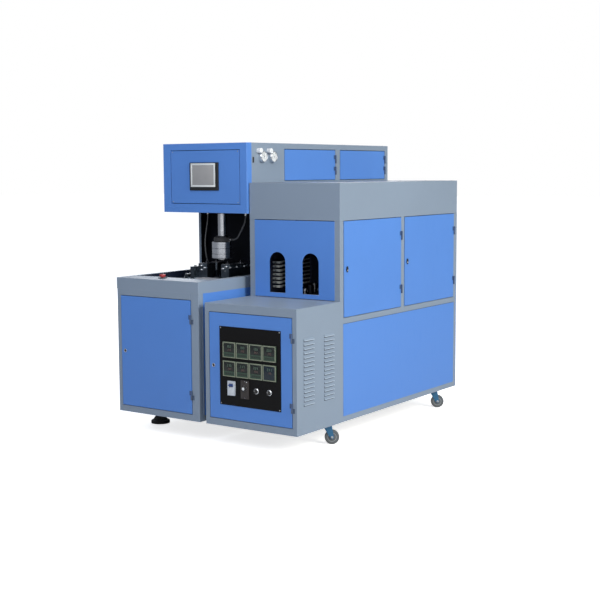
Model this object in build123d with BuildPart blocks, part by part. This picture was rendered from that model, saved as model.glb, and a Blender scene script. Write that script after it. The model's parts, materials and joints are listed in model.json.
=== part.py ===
from build123d import *
import os
from math import atan2, cos, degrees, pi, radians, sin, tan

# Semi-automatic stretch blow moulding machine with its preform oven.
# Millimetres, +Z up, +X to the operator's right, the operator stands at -Y.
# The origin is on the floor, under the middle of the machine.

# Driving sizes: whole machine
CLAMP_W = 680
CLAMP_D = 2180
UNIT_GAP = 50
OVEN_W = 685
OVEN_D = 1980
CABINET_D = 460
BASE_Z = 130
DECK_Z = 1000
CABINET_Z = 880
OVEN_Z = 1600
HEAD_Z0 = 1405
HEAD_Z1 = 1855
HEAD_W = 700
HEAD_FRONT = 442
HEAD_SHIFT = 25
HEAD_GAP = 5
TOWER_FRONT = 800

# Sheet metal, tube and door practice
SHEET = 2
TUBE = 40
TUBE_WALL = 3
REVEAL = 4
DOOR_T = 18
EDGE_R = 1.2
FIT = 0.05
GAP = 0.3

# Hinges
HINGE_R = 5
HINGE_H = 28
HINGE_PIN_R = 2.5
HINGE_OFF = 6
LEAF_W = 15
LEAF_T = 2
SIDE_PROUD = HINGE_OFF + HINGE_R

# Instruments
PLATE_T = 3
KNOB_PROUD = 25
FRONT_PROUD = PLATE_T + KNOB_PROUD
REAR_PROUD = 40

# Clamp unit
POST_L = 28
POST_R = 58
RIM_H = 72
RIM_W = 34
FRONT_RIM = 165
TRAY_DEEP = 60
TRAY_SHEET = 3
TRAY_BACK = 870
FOOT_R = 62
FOOT_H = 22
FOOT_CONE = 46
STEM_R = 10
ESTOP_X = 300
ESTOP_Y = 105
ESTOP_R = 20
ESTOP_TRAVEL = 5

# Mould clamp
AXIS_Y = 670
END_PLATE_T = 25
END_PLATE_W = 300
PLATEN_BACK = 20
CLAMP_BED_Z = 675
CLAMP_BED_T = 25
END_PLATE_TOP = 990
TIE_R = 18
TIE_DY = 120
TIE_Z0 = 740
TIE_Z1 = 955
PLATEN_T = 30
MOULD_T = 75
MOULD_W = 190
MOULD_Z0 = 760
MOULD_TOP = 1060
PLATEN_TOP = 1040
STROKE = 60
ROD_R = 16
CYL_R = 38
CYL_LEN = 106
BOTTLE_R = 35
NECK_R = 14
LIFT_R = 33
LIFT_STROKE = 25

# Blow station
BARREL_R = 71
BARREL_Z0 = 1093
BARREL_Z1 = 1206
COLLAR_R = 59
COLLAR_Z1 = 1234
BLOW_TUBE_R = 31
BLOW_TUBE_BORE = 20
NOZZLE_R = 30
NOZZLE_DROP = 22
NOZZLE_LEN = 80
STRETCH_R = 7
STRETCH_TRAVEL = 240
BRIDGE_Z = 1465
BRIDGE_T = 15
STRETCH_CYL = 63
HOSE_R = 6

# Tower and head
TOWER_T = 20
HOOD_D = 50
HMI_PANEL = (94, 666)
HMI_PANEL_Z = (1466, 1808)
HMI_W = 240
HMI_H = 181
HMI_BEZEL_T = 8
UPPER_DOOR_Y = (853, 1460)
UPPER_POST = 66
UPPER_DOOR_Z = (1612, 1815)
GAUGE_Y = (600, 708)
GAUGE_Z = 1766
GAUGE_R = 36
GAUGE_T = 20
REG_SHIFT = 38
REG_R = 16
REG_T = 30

# Oven
MID_RAIL_Z = 736
HEADER_Z = 1372
PANEL_EDGE = 40
FRONT_PANEL_X = (PANEL_EDGE, OVEN_W - PANEL_EDGE)
ARCH_W = 122
ARCH_H = 256
ARCH_SILL = 912
ARCH_PITCH = 252
BED_Z = 882
BED_T = 6
CHAIN_PITCH = 38.1
TEETH = 20
STRAIGHT_LINKS = 30
SPROCKET_Y = 640
CHAIN_Z = 892
LAMP_COUNT = 7
LAMP_PITCH = 26
LAMP_Z0 = 935
LAMP_Y = (600, 1800)
LAMP_R = 6
LAMP_END = (55, 30, 14)
LAMP_X = 115

# Control cabinet
CTRL_EDGE = 35
CTRL_DOOR_X = (CTRL_EDGE, OVEN_W - CTRL_EDGE)
CTRL_DOOR_Z = (177, 825)
INSTR_W = 457
INSTR_OFF = 1
INSTR_X = ((OVEN_W - INSTR_W) / 2 + INSTR_OFF, (OVEN_W + INSTR_W) / 2 + INSTR_OFF)
INSTR_Z = (265, 745)
METER = 96
METER_PITCH_X = 100
METER_PITCH_Z = 115
METER_T = 8
METER_BODY = 60
METER_ROW_Z = 605
BREAKER_X = 94
DEVICE_Z = 372
SPEED_X = 193
SELECT_X = (279, 375)
SELECT_R = 17
LOUVRE_L = 104
LOUVRE_H = 14
LOUVRE_PITCH = 25.5
LOUVRE_ROWS = 16
LOUVRE_Y = (121, 336)
LOUVRE_Z = 502
LOUVRE_OUT = 7

# Castors and inlets
WHEEL_R = 45
WHEEL_T = 26
CASTOR_TRAIL = 28
CASTOR_TURN = 35
CASTOR_X = 65
CASTOR_Y = (415, 1770)
FORK_T = 4
INLET_R = 9.5
GLAND_R = 9

# Places worked out from the sizes above
BAY_W = max(CLAMP_W + UNIT_GAP, HEAD_SHIFT + HEAD_W + HEAD_GAP)
MACHINE_W = BAY_W + OVEN_W
LEFT = -(MACHINE_W + SIDE_PROUD) / 2
FRONT = -(FRONT_PROUD + CLAMP_D + REAR_PROUD) / 2 + FRONT_PROUD
OVEN_X = LEFT + BAY_W
RIGHT = LEFT + MACHINE_W
HEAD_X = LEFT + HEAD_SHIFT
HEAD_R = HEAD_X + HEAD_W
HEAD_Y = FRONT + HEAD_FRONT
REAR = FRONT + CLAMP_D
OVEN_Y = FRONT + CABINET_D
OVEN_REAR = FRONT + OVEN_D
AXIS = (LEFT + CLAMP_W / 2, FRONT + AXIS_Y)
TOWER_Y = FRONT + TOWER_FRONT
RIM_Z = DECK_Z - RIM_H
TRAY_Z = DECK_Z - TRAY_DEEP
SPROCKET_R = CHAIN_PITCH / 2 / sin(radians(180 / TEETH))
CHAIN_RUN = CHAIN_PITCH * STRAIGHT_LINKS
OVEN_MID = OVEN_X + sum(FRONT_PANEL_X) / 2

os.makedirs("parts", exist_ok=True)


def slab(x, y, z, mode=Mode.ADD):
    """A block between two limits on each axis."""
    with Locations(((x[0] + x[1]) / 2, (y[0] + y[1]) / 2, (z[0] + z[1]) / 2)):
        return Box(abs(x[1] - x[0]), abs(y[1] - y[0]), abs(z[1] - z[0]), mode=mode)


def bar(start, axis, length, radius, mode=Mode.ADD):
    """A round bar from a start point along +X, +Y or +Z."""
    turn = {"X": (0, 90, 0), "Y": (-90, 0, 0), "Z": (0, 0, 0)}[axis]
    with Locations(Location(start, turn)):
        return Cylinder(radius, length, align=(Align.CENTER, Align.CENTER, Align.MIN), mode=mode)


def tube_frame(posts, rails):
    """A welded frame of square tubes: open-ended posts, and rails whose bores run into them."""
    for x, y, z in posts + rails:
        slab(x, y, z)
    wall = TUBE_WALL
    for x, y, z in posts:
        bore_z = (z[0] - wall, z[1] - wall)
        slab((x[0] + wall, x[1] - wall), (y[0] + wall, y[1] - wall), bore_z, mode=Mode.SUBTRACT)
    for x, y, z in rails:
        along_x = x[1] - x[0] > y[1] - y[0]
        reach = (-2 * wall, wall) if along_x else (wall, -2 * wall)
        bore_x = (x[0] + reach[0], x[1] - reach[0])
        bore_y = (y[0] + reach[1], y[1] - reach[1])
        slab(bore_x, bore_y, (z[0] + wall, z[1] - wall), mode=Mode.SUBTRACT)


def front_pan(x, z, face_y, depth=DOOR_T):
    """A folded sheet door or panel facing the front, open at its back."""
    slab(x, (face_y, face_y + depth), z)
    inner = (face_y + SHEET, face_y + depth)
    slab((x[0] + SHEET, x[1] - SHEET), inner, (z[0] + SHEET, z[1] - SHEET), mode=Mode.SUBTRACT)


def side_pan(y, z, face_x, inward, depth=DOOR_T):
    """A folded sheet door or panel facing a side, open at its back; inward is -1 on the right."""
    slab((face_x, face_x + inward * depth), y, z)
    inner = (face_x + inward * SHEET, face_x + inward * depth)
    slab(inner, (y[0] + SHEET, y[1] - SHEET), (z[0] + SHEET, z[1] - SHEET), mode=Mode.SUBTRACT)


def knuckle(x, y, z, mode=Mode.ADD):
    """One half of a hinge barrel standing on height z."""
    bar((x, y, z), "Z", HINGE_H, HINGE_R, mode)


def front_hinge_half(edge_x, face_y, z, side, frame_y=None):
    """The door's upper or the frame's lower half of a hinge on a front door's right edge.

    side is -1 for the half welded to the door and 1 for the half welded to the frame.
    """
    axis_x = edge_x + REVEAL / 2
    axis_y = face_y - HINGE_OFF
    knuckle(axis_x, axis_y, z)
    seat = face_y if frame_y is None else frame_y
    leaf_x = (axis_x + side * 3, axis_x + side * (3 + LEAF_W))
    slab(leaf_x, (face_y - LEAF_T, seat), (z, z + HINGE_H))
    slab((axis_x, axis_x + side * 5), (axis_y, face_y - LEAF_T / 2), (z, z + HINGE_H))


def side_hinge_half(edge_y, face_x, z, side, frame_x=None):
    """The same for a door on the right side, hinged at its rear edge."""
    axis_x = face_x + HINGE_OFF
    axis_y = edge_y + REVEAL / 2
    knuckle(axis_x, axis_y, z)
    seat = face_x if frame_x is None else frame_x
    leaf_y = (axis_y + side * 3, axis_y + side * (3 + LEAF_W))
    slab((seat, face_x + LEAF_T), leaf_y, (z, z + HINGE_H))
    slab((face_x + LEAF_T / 2, axis_x), (axis_y, axis_y + side * 5), (z, z + HINGE_H))


def hinge_heights(z):
    """Two hinge heights near the top and bottom of a door."""
    inset = min(90, (z[1] - z[0]) / 6)
    return (z[0] + inset, z[1] - inset - 2 * HINGE_H)


def keep(piece, name):
    """Label a finished piece and write it."""
    piece.part.label = name
    export_step(piece.part, f"parts/{name}.step")


# Openings of the doors and the doors in them
CLAMP_DOOR_X = (LEFT + SHEET + POST_L + REVEAL, LEFT + CLAMP_W - SHEET - POST_R - REVEAL)
CLAMP_DOOR_Z = (BASE_Z + TUBE + REVEAL, RIM_Z - TUBE - REVEAL)
CTRL_X = (OVEN_X + CTRL_DOOR_X[0], OVEN_X + CTRL_DOOR_X[1])
DOOR_SPAN = (OVEN_D - CABINET_D - 2 * SHEET - 3 * TUBE) / 2
OVEN_DOOR_Y = []
for place in range(2):
    opening_y = OVEN_Y + SHEET + TUBE + place * (DOOR_SPAN + TUBE)
    OVEN_DOOR_Y.append((opening_y + REVEAL, opening_y + DOOR_SPAN - REVEAL))
OVEN_DOOR_Z = (MID_RAIL_Z + TUBE + REVEAL, HEADER_Z - REVEAL)
upper_w = UPPER_DOOR_Y[1] - UPPER_DOOR_Y[0]
UPPER_Y = []
for place in range(2):
    first_y = FRONT + UPPER_DOOR_Y[0] + place * (upper_w + UPPER_POST)
    UPPER_Y.append((first_y, first_y + upper_w))
HMI_X = (LEFT + HMI_PANEL[0], LEFT + HMI_PANEL[1])

# Clamp unit: base frame
frame_x = (LEFT + SHEET, LEFT + CLAMP_W - SHEET)
frame_y = (FRONT + SHEET, REAR - SHEET)
inner_y = (frame_y[0] + TUBE, frame_y[1] - TUBE)
left_x = (frame_x[0], frame_x[0] + TUBE)
right_x = (frame_x[1] - TUBE, frame_x[1])
FEET_X = LEFT + 72
FEET_Y = (FRONT + 315, REAR - 240)
with BuildPart() as clamp_frame:
    posts = [
        ((frame_x[0], frame_x[0] + POST_L), (frame_y[0], inner_y[0]), (BASE_Z, RIM_Z)),
        ((frame_x[1] - POST_R, frame_x[1]), (frame_y[0], inner_y[0]), (BASE_Z, RIM_Z)),
        (left_x, (inner_y[1], frame_y[1]), (BASE_Z, RIM_Z)),
        (right_x, (inner_y[1], frame_y[1]), (BASE_Z, RIM_Z)),
    ]
    rails = []
    for rail_z in (BASE_Z, RIM_Z - TUBE):
        high = (rail_z, rail_z + TUBE)
        front_gap = (frame_x[0] + POST_L, frame_x[1] - POST_R)
        rails.append((front_gap, (frame_y[0], inner_y[0]), high))
        rails.append(((left_x[1], right_x[0]), (inner_y[1], frame_y[1]), high))
    for rail_z in (BASE_Z, CLAMP_BED_Z - TUBE, RIM_Z - TUBE):
        for side in (left_x, right_x):
            rails.append((side, inner_y, (rail_z, rail_z + TUBE)))
    for mid_y in FEET_Y:
        across = (mid_y - TUBE / 2, mid_y + TUBE / 2)
        rails.append(((left_x[1], right_x[0]), across, (BASE_Z, BASE_Z + TUBE)))
    for mid_y in (AXIS[1] - END_PLATE_W / 3, AXIS[1] + END_PLATE_W / 3):
        across = (mid_y - TUBE / 2, mid_y + TUBE / 2)
        rails.append(((left_x[1], right_x[0]), across, (CLAMP_BED_Z - TUBE, CLAMP_BED_Z)))
    tube_frame(posts, rails)
keep(clamp_frame, "clamp_frame")

# Clamp unit: side panels, back panel and the strip above the door
panel_y = (inner_y[0] - REVEAL, inner_y[1] + REVEAL)
panel_z = (BASE_Z + TUBE - REVEAL, RIM_Z)
with BuildPart() as clamp_panels:
    slab((LEFT, LEFT + SHEET), panel_y, panel_z)
    slab((LEFT + CLAMP_W - SHEET, LEFT + CLAMP_W), panel_y, panel_z)
    slab((left_x[0], right_x[1]), (REAR - SHEET, REAR), (BASE_Z, RIM_Z))
    slab(CLAMP_DOOR_X, (FRONT, FRONT + SHEET), (RIM_Z - TUBE, RIM_Z))
keep(clamp_panels, "clamp_panels")

# Clamp unit: deck tray, a folded sheet with a recess and an opening for the moulds
TRAY_X = (LEFT + RIM_W, LEFT + CLAMP_W - RIM_W)
TRAY_Y = (FRONT + FRONT_RIM, FRONT + TRAY_BACK)
END_IN = STROKE + GAP / 2 + MOULD_T + PLATEN_T + PLATEN_BACK
HOLE_MARGIN = 15
MOULD_HOLE_X = (AXIS[0] - END_IN - END_PLATE_T - HOLE_MARGIN, AXIS[0] + END_IN + END_PLATE_T + HOLE_MARGIN)
MOULD_HOLE_Y = (AXIS[1] - END_PLATE_W / 2 - HOLE_MARGIN, AXIS[1] + END_PLATE_W / 2 + HOLE_MARGIN)
with BuildPart() as deck_tray:
    slab((LEFT, LEFT + CLAMP_W), (FRONT, REAR), (RIM_Z, DECK_Z))
    with BuildSketch(Plane.XY.offset(RIM_Z)) as under:
        with Locations((LEFT + CLAMP_W / 2, (FRONT + REAR) / 2)):
            Rectangle(CLAMP_W - 2 * TRAY_SHEET, CLAMP_D - 2 * TRAY_SHEET)
        with Locations(((TRAY_X[0] + TRAY_X[1]) / 2, (TRAY_Y[0] + TRAY_Y[1]) / 2)):
            recess_w = TRAY_X[1] - TRAY_X[0] + 2 * TRAY_SHEET
            recess_d = TRAY_Y[1] - TRAY_Y[0] + 2 * TRAY_SHEET
            Rectangle(recess_w, recess_d, mode=Mode.SUBTRACT)
    extrude(amount=RIM_H - TRAY_SHEET, mode=Mode.SUBTRACT)
    recess_x = (TRAY_X[0] - TRAY_SHEET, TRAY_X[1] + TRAY_SHEET)
    recess_y = (TRAY_Y[0] - TRAY_SHEET, TRAY_Y[1] + TRAY_SHEET)
    slab(recess_x, recess_y, (RIM_Z, TRAY_Z - TRAY_SHEET), mode=Mode.SUBTRACT)
    slab(TRAY_X, TRAY_Y, (TRAY_Z, DECK_Z), mode=Mode.SUBTRACT)
    slab(MOULD_HOLE_X, MOULD_HOLE_Y, (RIM_Z, DECK_Z), mode=Mode.SUBTRACT)
    bar((LEFT + ESTOP_X, FRONT + ESTOP_Y, RIM_Z), "Z", RIM_H, ESTOP_R / 2 + FIT, Mode.SUBTRACT)
    rim_edges = deck_tray.edges().filter_by(Axis.Z).group_by(Axis.Y)[0]
    fillet(rim_edges, EDGE_R)
    fillet(deck_tray.faces().sort_by(Axis.Z)[-1].outer_wire().edges(), EDGE_R)
keep(deck_tray, "deck_tray")

# Levelling feet: rubber base, stem and nut, under the left side
with BuildPart() as levelling_feet:
    for foot_y in FEET_Y:
        with Locations((FEET_X, foot_y, 0)):
            Cylinder(FOOT_R, FOOT_H, align=(Align.CENTER, Align.CENTER, Align.MIN))
    fillet(levelling_feet.edges().filter_by(GeomType.CIRCLE).group_by(Axis.Z)[-1], FOOT_H / 3)
    for foot_y in FEET_Y:
        with Locations((FEET_X, foot_y, FOOT_H)):
            Cone(FOOT_R * 0.8, STEM_R * 2, FOOT_CONE, align=(Align.CENTER, Align.CENTER, Align.MIN))
        bar((FEET_X, foot_y, FOOT_H), "Z", BASE_Z - FOOT_H, STEM_R)
        with BuildSketch(Plane((FEET_X, foot_y, BASE_Z))) as nut:
            RegularPolygon(STEM_R * 1.8, 6)
        extrude(amount=-STEM_R)
keep(levelling_feet, "levelling_feet")

# Mould clamp: end plates on a bed, tie bars, cylinders
CLAMP_Z = (TIE_Z0 + TIE_Z1) / 2
bed_x = (AXIS[0] - END_IN - END_PLATE_T, AXIS[0] + END_IN + END_PLATE_T)
plate_y = (AXIS[1] - END_PLATE_W / 2, AXIS[1] + END_PLATE_W / 2)
with BuildPart() as clamp_end_plates:
    slab(bed_x, plate_y, (CLAMP_BED_Z, CLAMP_BED_Z + CLAMP_BED_T))
    slab((bed_x[0], bed_x[0] + END_PLATE_T), plate_y, (CLAMP_BED_Z, END_PLATE_TOP))
    slab((bed_x[1] - END_PLATE_T, bed_x[1]), plate_y, (CLAMP_BED_Z, END_PLATE_TOP))
    for tie_y in (AXIS[1] - TIE_DY, AXIS[1] + TIE_DY):
        for tie_z in (TIE_Z0, TIE_Z1):
            bar((bed_x[0], tie_y, tie_z), "X", bed_x[1] - bed_x[0], TIE_R, Mode.SUBTRACT)
    bar((bed_x[0], AXIS[1], CLAMP_Z), "X", bed_x[1] - bed_x[0], ROD_R + GAP, Mode.SUBTRACT)
    bar((AXIS[0], AXIS[1], CLAMP_BED_Z), "Z", CLAMP_BED_T, LIFT_R / 2, Mode.SUBTRACT)
keep(clamp_end_plates, "clamp_end_plates")

with BuildPart() as tie_bars:
    for tie_y in (AXIS[1] - TIE_DY, AXIS[1] + TIE_DY):
        for tie_z in (TIE_Z0, TIE_Z1):
            bar((bed_x[0], tie_y, tie_z), "X", bed_x[1] - bed_x[0], TIE_R)
    chamfer(tie_bars.edges().filter_by(GeomType.CIRCLE), EDGE_R)
keep(tie_bars, "tie_bars")

LIFT_CYL_LEN = 115
LIFT_ROD_R = 12
with BuildPart() as pneumatic_cylinders:
    bar((bed_x[0] - CYL_LEN, AXIS[1], CLAMP_Z), "X", CYL_LEN, CYL_R)
    bar((bed_x[1], AXIS[1], CLAMP_Z), "X", CYL_LEN, CYL_R)
    bar((AXIS[0], AXIS[1], CLAMP_BED_Z - LIFT_CYL_LEN), "Z", LIFT_CYL_LEN, CYL_R)
    chamfer(pneumatic_cylinders.edges().filter_by(GeomType.CIRCLE), EDGE_R * 2)
    bore = CYL_LEN - CYL_R / 2
    bar((bed_x[0] - bore, AXIS[1], CLAMP_Z), "X", bore, ROD_R + GAP, Mode.SUBTRACT)
    bar((bed_x[1], AXIS[1], CLAMP_Z), "X", bore, ROD_R + GAP, Mode.SUBTRACT)
    lift_bore = LIFT_CYL_LEN - CYL_R / 2
    bar((AXIS[0], AXIS[1], CLAMP_BED_Z - lift_bore), "Z", lift_bore, LIFT_ROD_R + GAP, Mode.SUBTRACT)
keep(pneumatic_cylinders, "pneumatic_cylinders")

# Moving halves of the mould clamp, each with its platen, piston rod and mould half
def mould_half(side):
    """One mould half, side -1 on the left and 1 on the right, drawn open."""
    parting = AXIS[0] + side * (STROKE + GAP / 2)
    back = parting + side * MOULD_T
    outer = back + side * PLATEN_T
    mould_y = (AXIS[1] - MOULD_W / 2, AXIS[1] + MOULD_W / 2)
    slab((back, outer), (plate_y[0] + 5, plate_y[1] - 5), (CLAMP_BED_Z + CLAMP_BED_T + 5, PLATEN_TOP))
    slab((parting, back), mould_y, (MOULD_Z0, MOULD_TOP))
    start = outer if side > 0 else outer - CYL_LEN - PLATEN_BACK
    bar((start, AXIS[1], CLAMP_Z), "X", CYL_LEN + PLATEN_BACK, ROD_R)
    for tie_y in (AXIS[1] - TIE_DY, AXIS[1] + TIE_DY):
        for tie_z in (TIE_Z0, TIE_Z1):
            plate_start = min(back, outer)
            bar((plate_start, tie_y, tie_z), "X", PLATEN_T, TIE_R + FIT, Mode.SUBTRACT)
    shoulder = MOULD_TOP - (MOULD_TOP - MOULD_Z0) / 3
    neck = MOULD_TOP - (MOULD_TOP - MOULD_Z0) / 6
    bar((parting, AXIS[1], MOULD_Z0), "Z", LIFT_STROKE, LIFT_R, Mode.SUBTRACT)
    body_h = shoulder - MOULD_Z0 - LIFT_STROKE
    bar((parting, AXIS[1], MOULD_Z0 + LIFT_STROKE), "Z", body_h, BOTTLE_R, Mode.SUBTRACT)
    bar((parting, AXIS[1], neck), "Z", MOULD_TOP - neck, NECK_R, Mode.SUBTRACT)
    with Locations((parting, AXIS[1], shoulder)):
        low = (Align.CENTER, Align.CENTER, Align.MIN)
        Cone(BOTTLE_R, NECK_R, neck - shoulder, align=low, mode=Mode.SUBTRACT)


with BuildPart() as left_mould:
    mould_half(-1)
keep(left_mould, "left_mould")

with BuildPart() as right_mould:
    mould_half(1)
keep(right_mould, "right_mould")

LIFT_TOP = MOULD_Z0 - 3
with BuildPart() as lift_plug:
    bar((AXIS[0], AXIS[1], LIFT_TOP - LIFT_STROKE), "Z", LIFT_STROKE, LIFT_R - GAP)
    fillet(lift_plug.edges().filter_by(GeomType.CIRCLE).group_by(Axis.Z)[-1], EDGE_R)
    rod_z = CLAMP_BED_Z - lift_bore + LIFT_STROKE / 2
    bar((AXIS[0], AXIS[1], rod_z), "Z", LIFT_TOP - LIFT_STROKE - rod_z, LIFT_ROD_R)
keep(lift_plug, "lift_plug")

# Blow station: hanging tube, collar, barrel with its moving nozzle, stretch cylinder and rod
NOZZLE_Z = MOULD_TOP + NOZZLE_DROP + GAP
with BuildPart() as blow_tube:
    bar((*AXIS, COLLAR_Z1), "Z", BRIDGE_Z - COLLAR_Z1, BLOW_TUBE_R)
    bar((*AXIS, COLLAR_Z1), "Z", BRIDGE_Z - COLLAR_Z1, BLOW_TUBE_BORE, Mode.SUBTRACT)
keep(blow_tube, "blow_tube")

FITTING_L = 24
HOSE_Z = (BARREL_Z1 + COLLAR_Z1) / 2
with BuildPart() as blow_collar:
    bar((*AXIS, BARREL_Z1), "Z", COLLAR_Z1 - BARREL_Z1, COLLAR_R)
    chamfer(blow_collar.edges().filter_by(GeomType.CIRCLE), EDGE_R * 2)
    bar((AXIS[0], AXIS[1], HOSE_Z), "X", COLLAR_R + FITTING_L, HOSE_R + 2)
    bar((*AXIS, BARREL_Z1), "Z", COLLAR_Z1 - BARREL_Z1, BLOW_TUBE_BORE, Mode.SUBTRACT)
keep(blow_collar, "blow_collar")

BARREL_CAP = 15
with BuildPart() as blow_barrel:
    bar((*AXIS, BARREL_Z0), "Z", BARREL_Z1 - BARREL_Z0, BARREL_R)
    chamfer(blow_barrel.edges().filter_by(GeomType.CIRCLE), EDGE_R * 2)
    bar((*AXIS, BARREL_Z0), "Z", BARREL_Z1 - BARREL_CAP - BARREL_Z0, NOZZLE_R + GAP, Mode.SUBTRACT)
    bar((*AXIS, BARREL_Z0), "Z", BARREL_Z1 - BARREL_Z0, BLOW_TUBE_BORE, Mode.SUBTRACT)
keep(blow_barrel, "blow_barrel")

with BuildPart() as blow_nozzle:
    bar((*AXIS, NOZZLE_Z), "Z", NOZZLE_LEN, NOZZLE_R)
    chamfer(blow_nozzle.edges().filter_by(GeomType.CIRCLE), EDGE_R)
    bar((*AXIS, NOZZLE_Z), "Z", NOZZLE_LEN, STRETCH_R + GAP, Mode.SUBTRACT)
keep(blow_nozzle, "blow_nozzle")

STRETCH_CYL_LEN = STRETCH_TRAVEL + 60
cyl_z = BRIDGE_Z + BRIDGE_T
piston_t = 20
with BuildPart() as stretch_cylinder:
    bridge_y = (AXIS[1] - 2 * BARREL_R, AXIS[1] + 2 * BARREL_R)
    slab((HEAD_X + SHEET, HEAD_R - SHEET), bridge_y, (BRIDGE_Z, cyl_z))
    half = STRETCH_CYL / 2
    cyl_x = (AXIS[0] - half, AXIS[0] + half)
    slab(cyl_x, (AXIS[1] - half, AXIS[1] + half), (cyl_z, cyl_z + STRETCH_CYL_LEN))
    bore_z = cyl_z + BARREL_CAP
    bar((*AXIS, bore_z), "Z", STRETCH_CYL_LEN - 2 * BARREL_CAP, half * 0.8, Mode.SUBTRACT)
    bar((*AXIS, BRIDGE_Z), "Z", bore_z - BRIDGE_Z, STRETCH_R + GAP, Mode.SUBTRACT)
keep(stretch_cylinder, "stretch_cylinder")

with BuildPart() as stretch_rod:
    rod_low = NOZZLE_Z + 2
    piston_z = bore_z + STRETCH_TRAVEL + GAP
    bar((*AXIS, rod_low), "Z", piston_z - rod_low, STRETCH_R)
    fillet(stretch_rod.edges().filter_by(GeomType.CIRCLE).group_by(Axis.Z)[0], STRETCH_R * 0.9)
    bar((*AXIS, piston_z), "Z", piston_t, half * 0.8 - GAP)
keep(stretch_rod, "stretch_rod")

# Tower: two side walls, rear wall and the dark back behind the blow station
with BuildPart() as tower_shell:
    left_wall = (HEAD_X, HEAD_X + TOWER_T)
    right_wall = (LEFT + CLAMP_W - TOWER_T, LEFT + CLAMP_W)
    slab(left_wall, (TOWER_Y, REAR), (DECK_Z, HEAD_Z0))
    slab(right_wall, (TOWER_Y, REAR), (DECK_Z, HEAD_Z0))
    slab((left_wall[1], right_wall[0]), (REAR - SHEET, REAR), (DECK_Z, HEAD_Z0))
    back_y = (FRONT + TRAY_BACK, FRONT + TRAY_BACK + BED_T)
    slab((left_wall[1], right_wall[0]), back_y, (DECK_Z, HEAD_Z0))
keep(tower_shell, "tower_shell")

# Head: grey body with two side door openings, open towards the hood
HOOD_Y = HEAD_Y + HOOD_D
with BuildPart() as head_body:
    slab((HEAD_X, HEAD_R), (HOOD_Y, REAR), (HEAD_Z0, HEAD_Z1))
    inner_z = (HEAD_Z0 + SHEET, HEAD_Z1 - SHEET)
    slab((HEAD_X + SHEET, HEAD_R - SHEET), (HOOD_Y, REAR - SHEET), inner_z, mode=Mode.SUBTRACT)
    for door_y in UPPER_Y:
        hole_y = (door_y[0] - REVEAL, door_y[1] + REVEAL)
        hole_z = (UPPER_DOOR_Z[0] - REVEAL, UPPER_DOOR_Z[1] + REVEAL)
        slab((HEAD_R - SHEET, HEAD_R), hole_y, hole_z, mode=Mode.SUBTRACT)
    bar((*AXIS, HEAD_Z0), "Z", SHEET, BLOW_TUBE_R + GAP, Mode.SUBTRACT)
    for gauge_y in GAUGE_Y:
        knob_y = FRONT + gauge_y - REG_SHIFT
        bar((HEAD_R - SHEET, knob_y, GAUGE_Z + REG_SHIFT), "X", SHEET, REG_R / 3 + FIT, Mode.SUBTRACT)
    top_edges = head_body.edges().filter_by(Axis.Y).group_by(Axis.Z)[-1]
    fillet(top_edges.sort_by(Axis.X)[-1], EDGE_R)
keep(head_body, "head_body")

hmi_hole_x = (HMI_X[0] - REVEAL, HMI_X[1] + REVEAL)
hmi_hole_z = (HMI_PANEL_Z[0] - REVEAL, HMI_PANEL_Z[1] + REVEAL)
HMI_PIN_R = 3
HMI_PIN = (HMI_X[0] + 2 * HMI_PIN_R, HEAD_Y + 2 * HMI_PIN_R)
with BuildPart() as head_hood:
    slab((HEAD_X, HEAD_R), (HEAD_Y, HOOD_Y), (HEAD_Z0, HEAD_Z1))
    fillet(head_hood.faces().sort_by(Axis.Y)[0].edges(), EDGE_R * 2)
    slab((HEAD_X + SHEET, HEAD_R - SHEET), (HEAD_Y + SHEET, HOOD_Y), inner_z, mode=Mode.SUBTRACT)
    lip_x = (hmi_hole_x[0] - SHEET, hmi_hole_x[1] + SHEET)
    lip_z = (hmi_hole_z[0] - SHEET, hmi_hole_z[1] + SHEET)
    slab(lip_x, (HEAD_Y + SHEET, HEAD_Y + DOOR_T), lip_z)
    slab(hmi_hole_x, (HEAD_Y, HEAD_Y + DOOR_T), hmi_hole_z, mode=Mode.SUBTRACT)
    bar((*HMI_PIN, lip_z[0]), "Z", lip_z[1] - lip_z[0], HMI_PIN_R + FIT, Mode.SUBTRACT)
keep(head_hood, "head_hood")

SCREEN_X = LEFT + 377
SCREEN_Z = 1641
with BuildPart() as hmi_panel:
    front_pan(HMI_X, HMI_PANEL_Z, HEAD_Y)
    hole = (SCREEN_X - HMI_W / 2 + METER_T, SCREEN_X + HMI_W / 2 - METER_T)
    hole_z = (SCREEN_Z - HMI_H / 2 + METER_T, SCREEN_Z + HMI_H / 2 - METER_T)
    slab(hole, (HEAD_Y, HEAD_Y + SHEET), hole_z, mode=Mode.SUBTRACT)
    pin_len = REVEAL + SHEET
    bar((*HMI_PIN, HMI_PANEL_Z[1] - SHEET), "Z", pin_len + SHEET, HMI_PIN_R)
    bar((*HMI_PIN, HMI_PANEL_Z[0] - pin_len), "Z", pin_len + SHEET, HMI_PIN_R)
keep(hmi_panel, "hmi_panel")

with BuildPart() as touch_screen:
    screen_x = (SCREEN_X - HMI_W / 2, SCREEN_X + HMI_W / 2)
    slab(screen_x, (HEAD_Y - HMI_BEZEL_T, HEAD_Y), (SCREEN_Z - HMI_H / 2, SCREEN_Z + HMI_H / 2))
    fillet(touch_screen.faces().sort_by(Axis.Y)[0].edges(), EDGE_R * 2)
    slab(hole, (HEAD_Y, HEAD_Y + 2 * DOOR_T), hole_z)
keep(touch_screen, "touch_screen")

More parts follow.
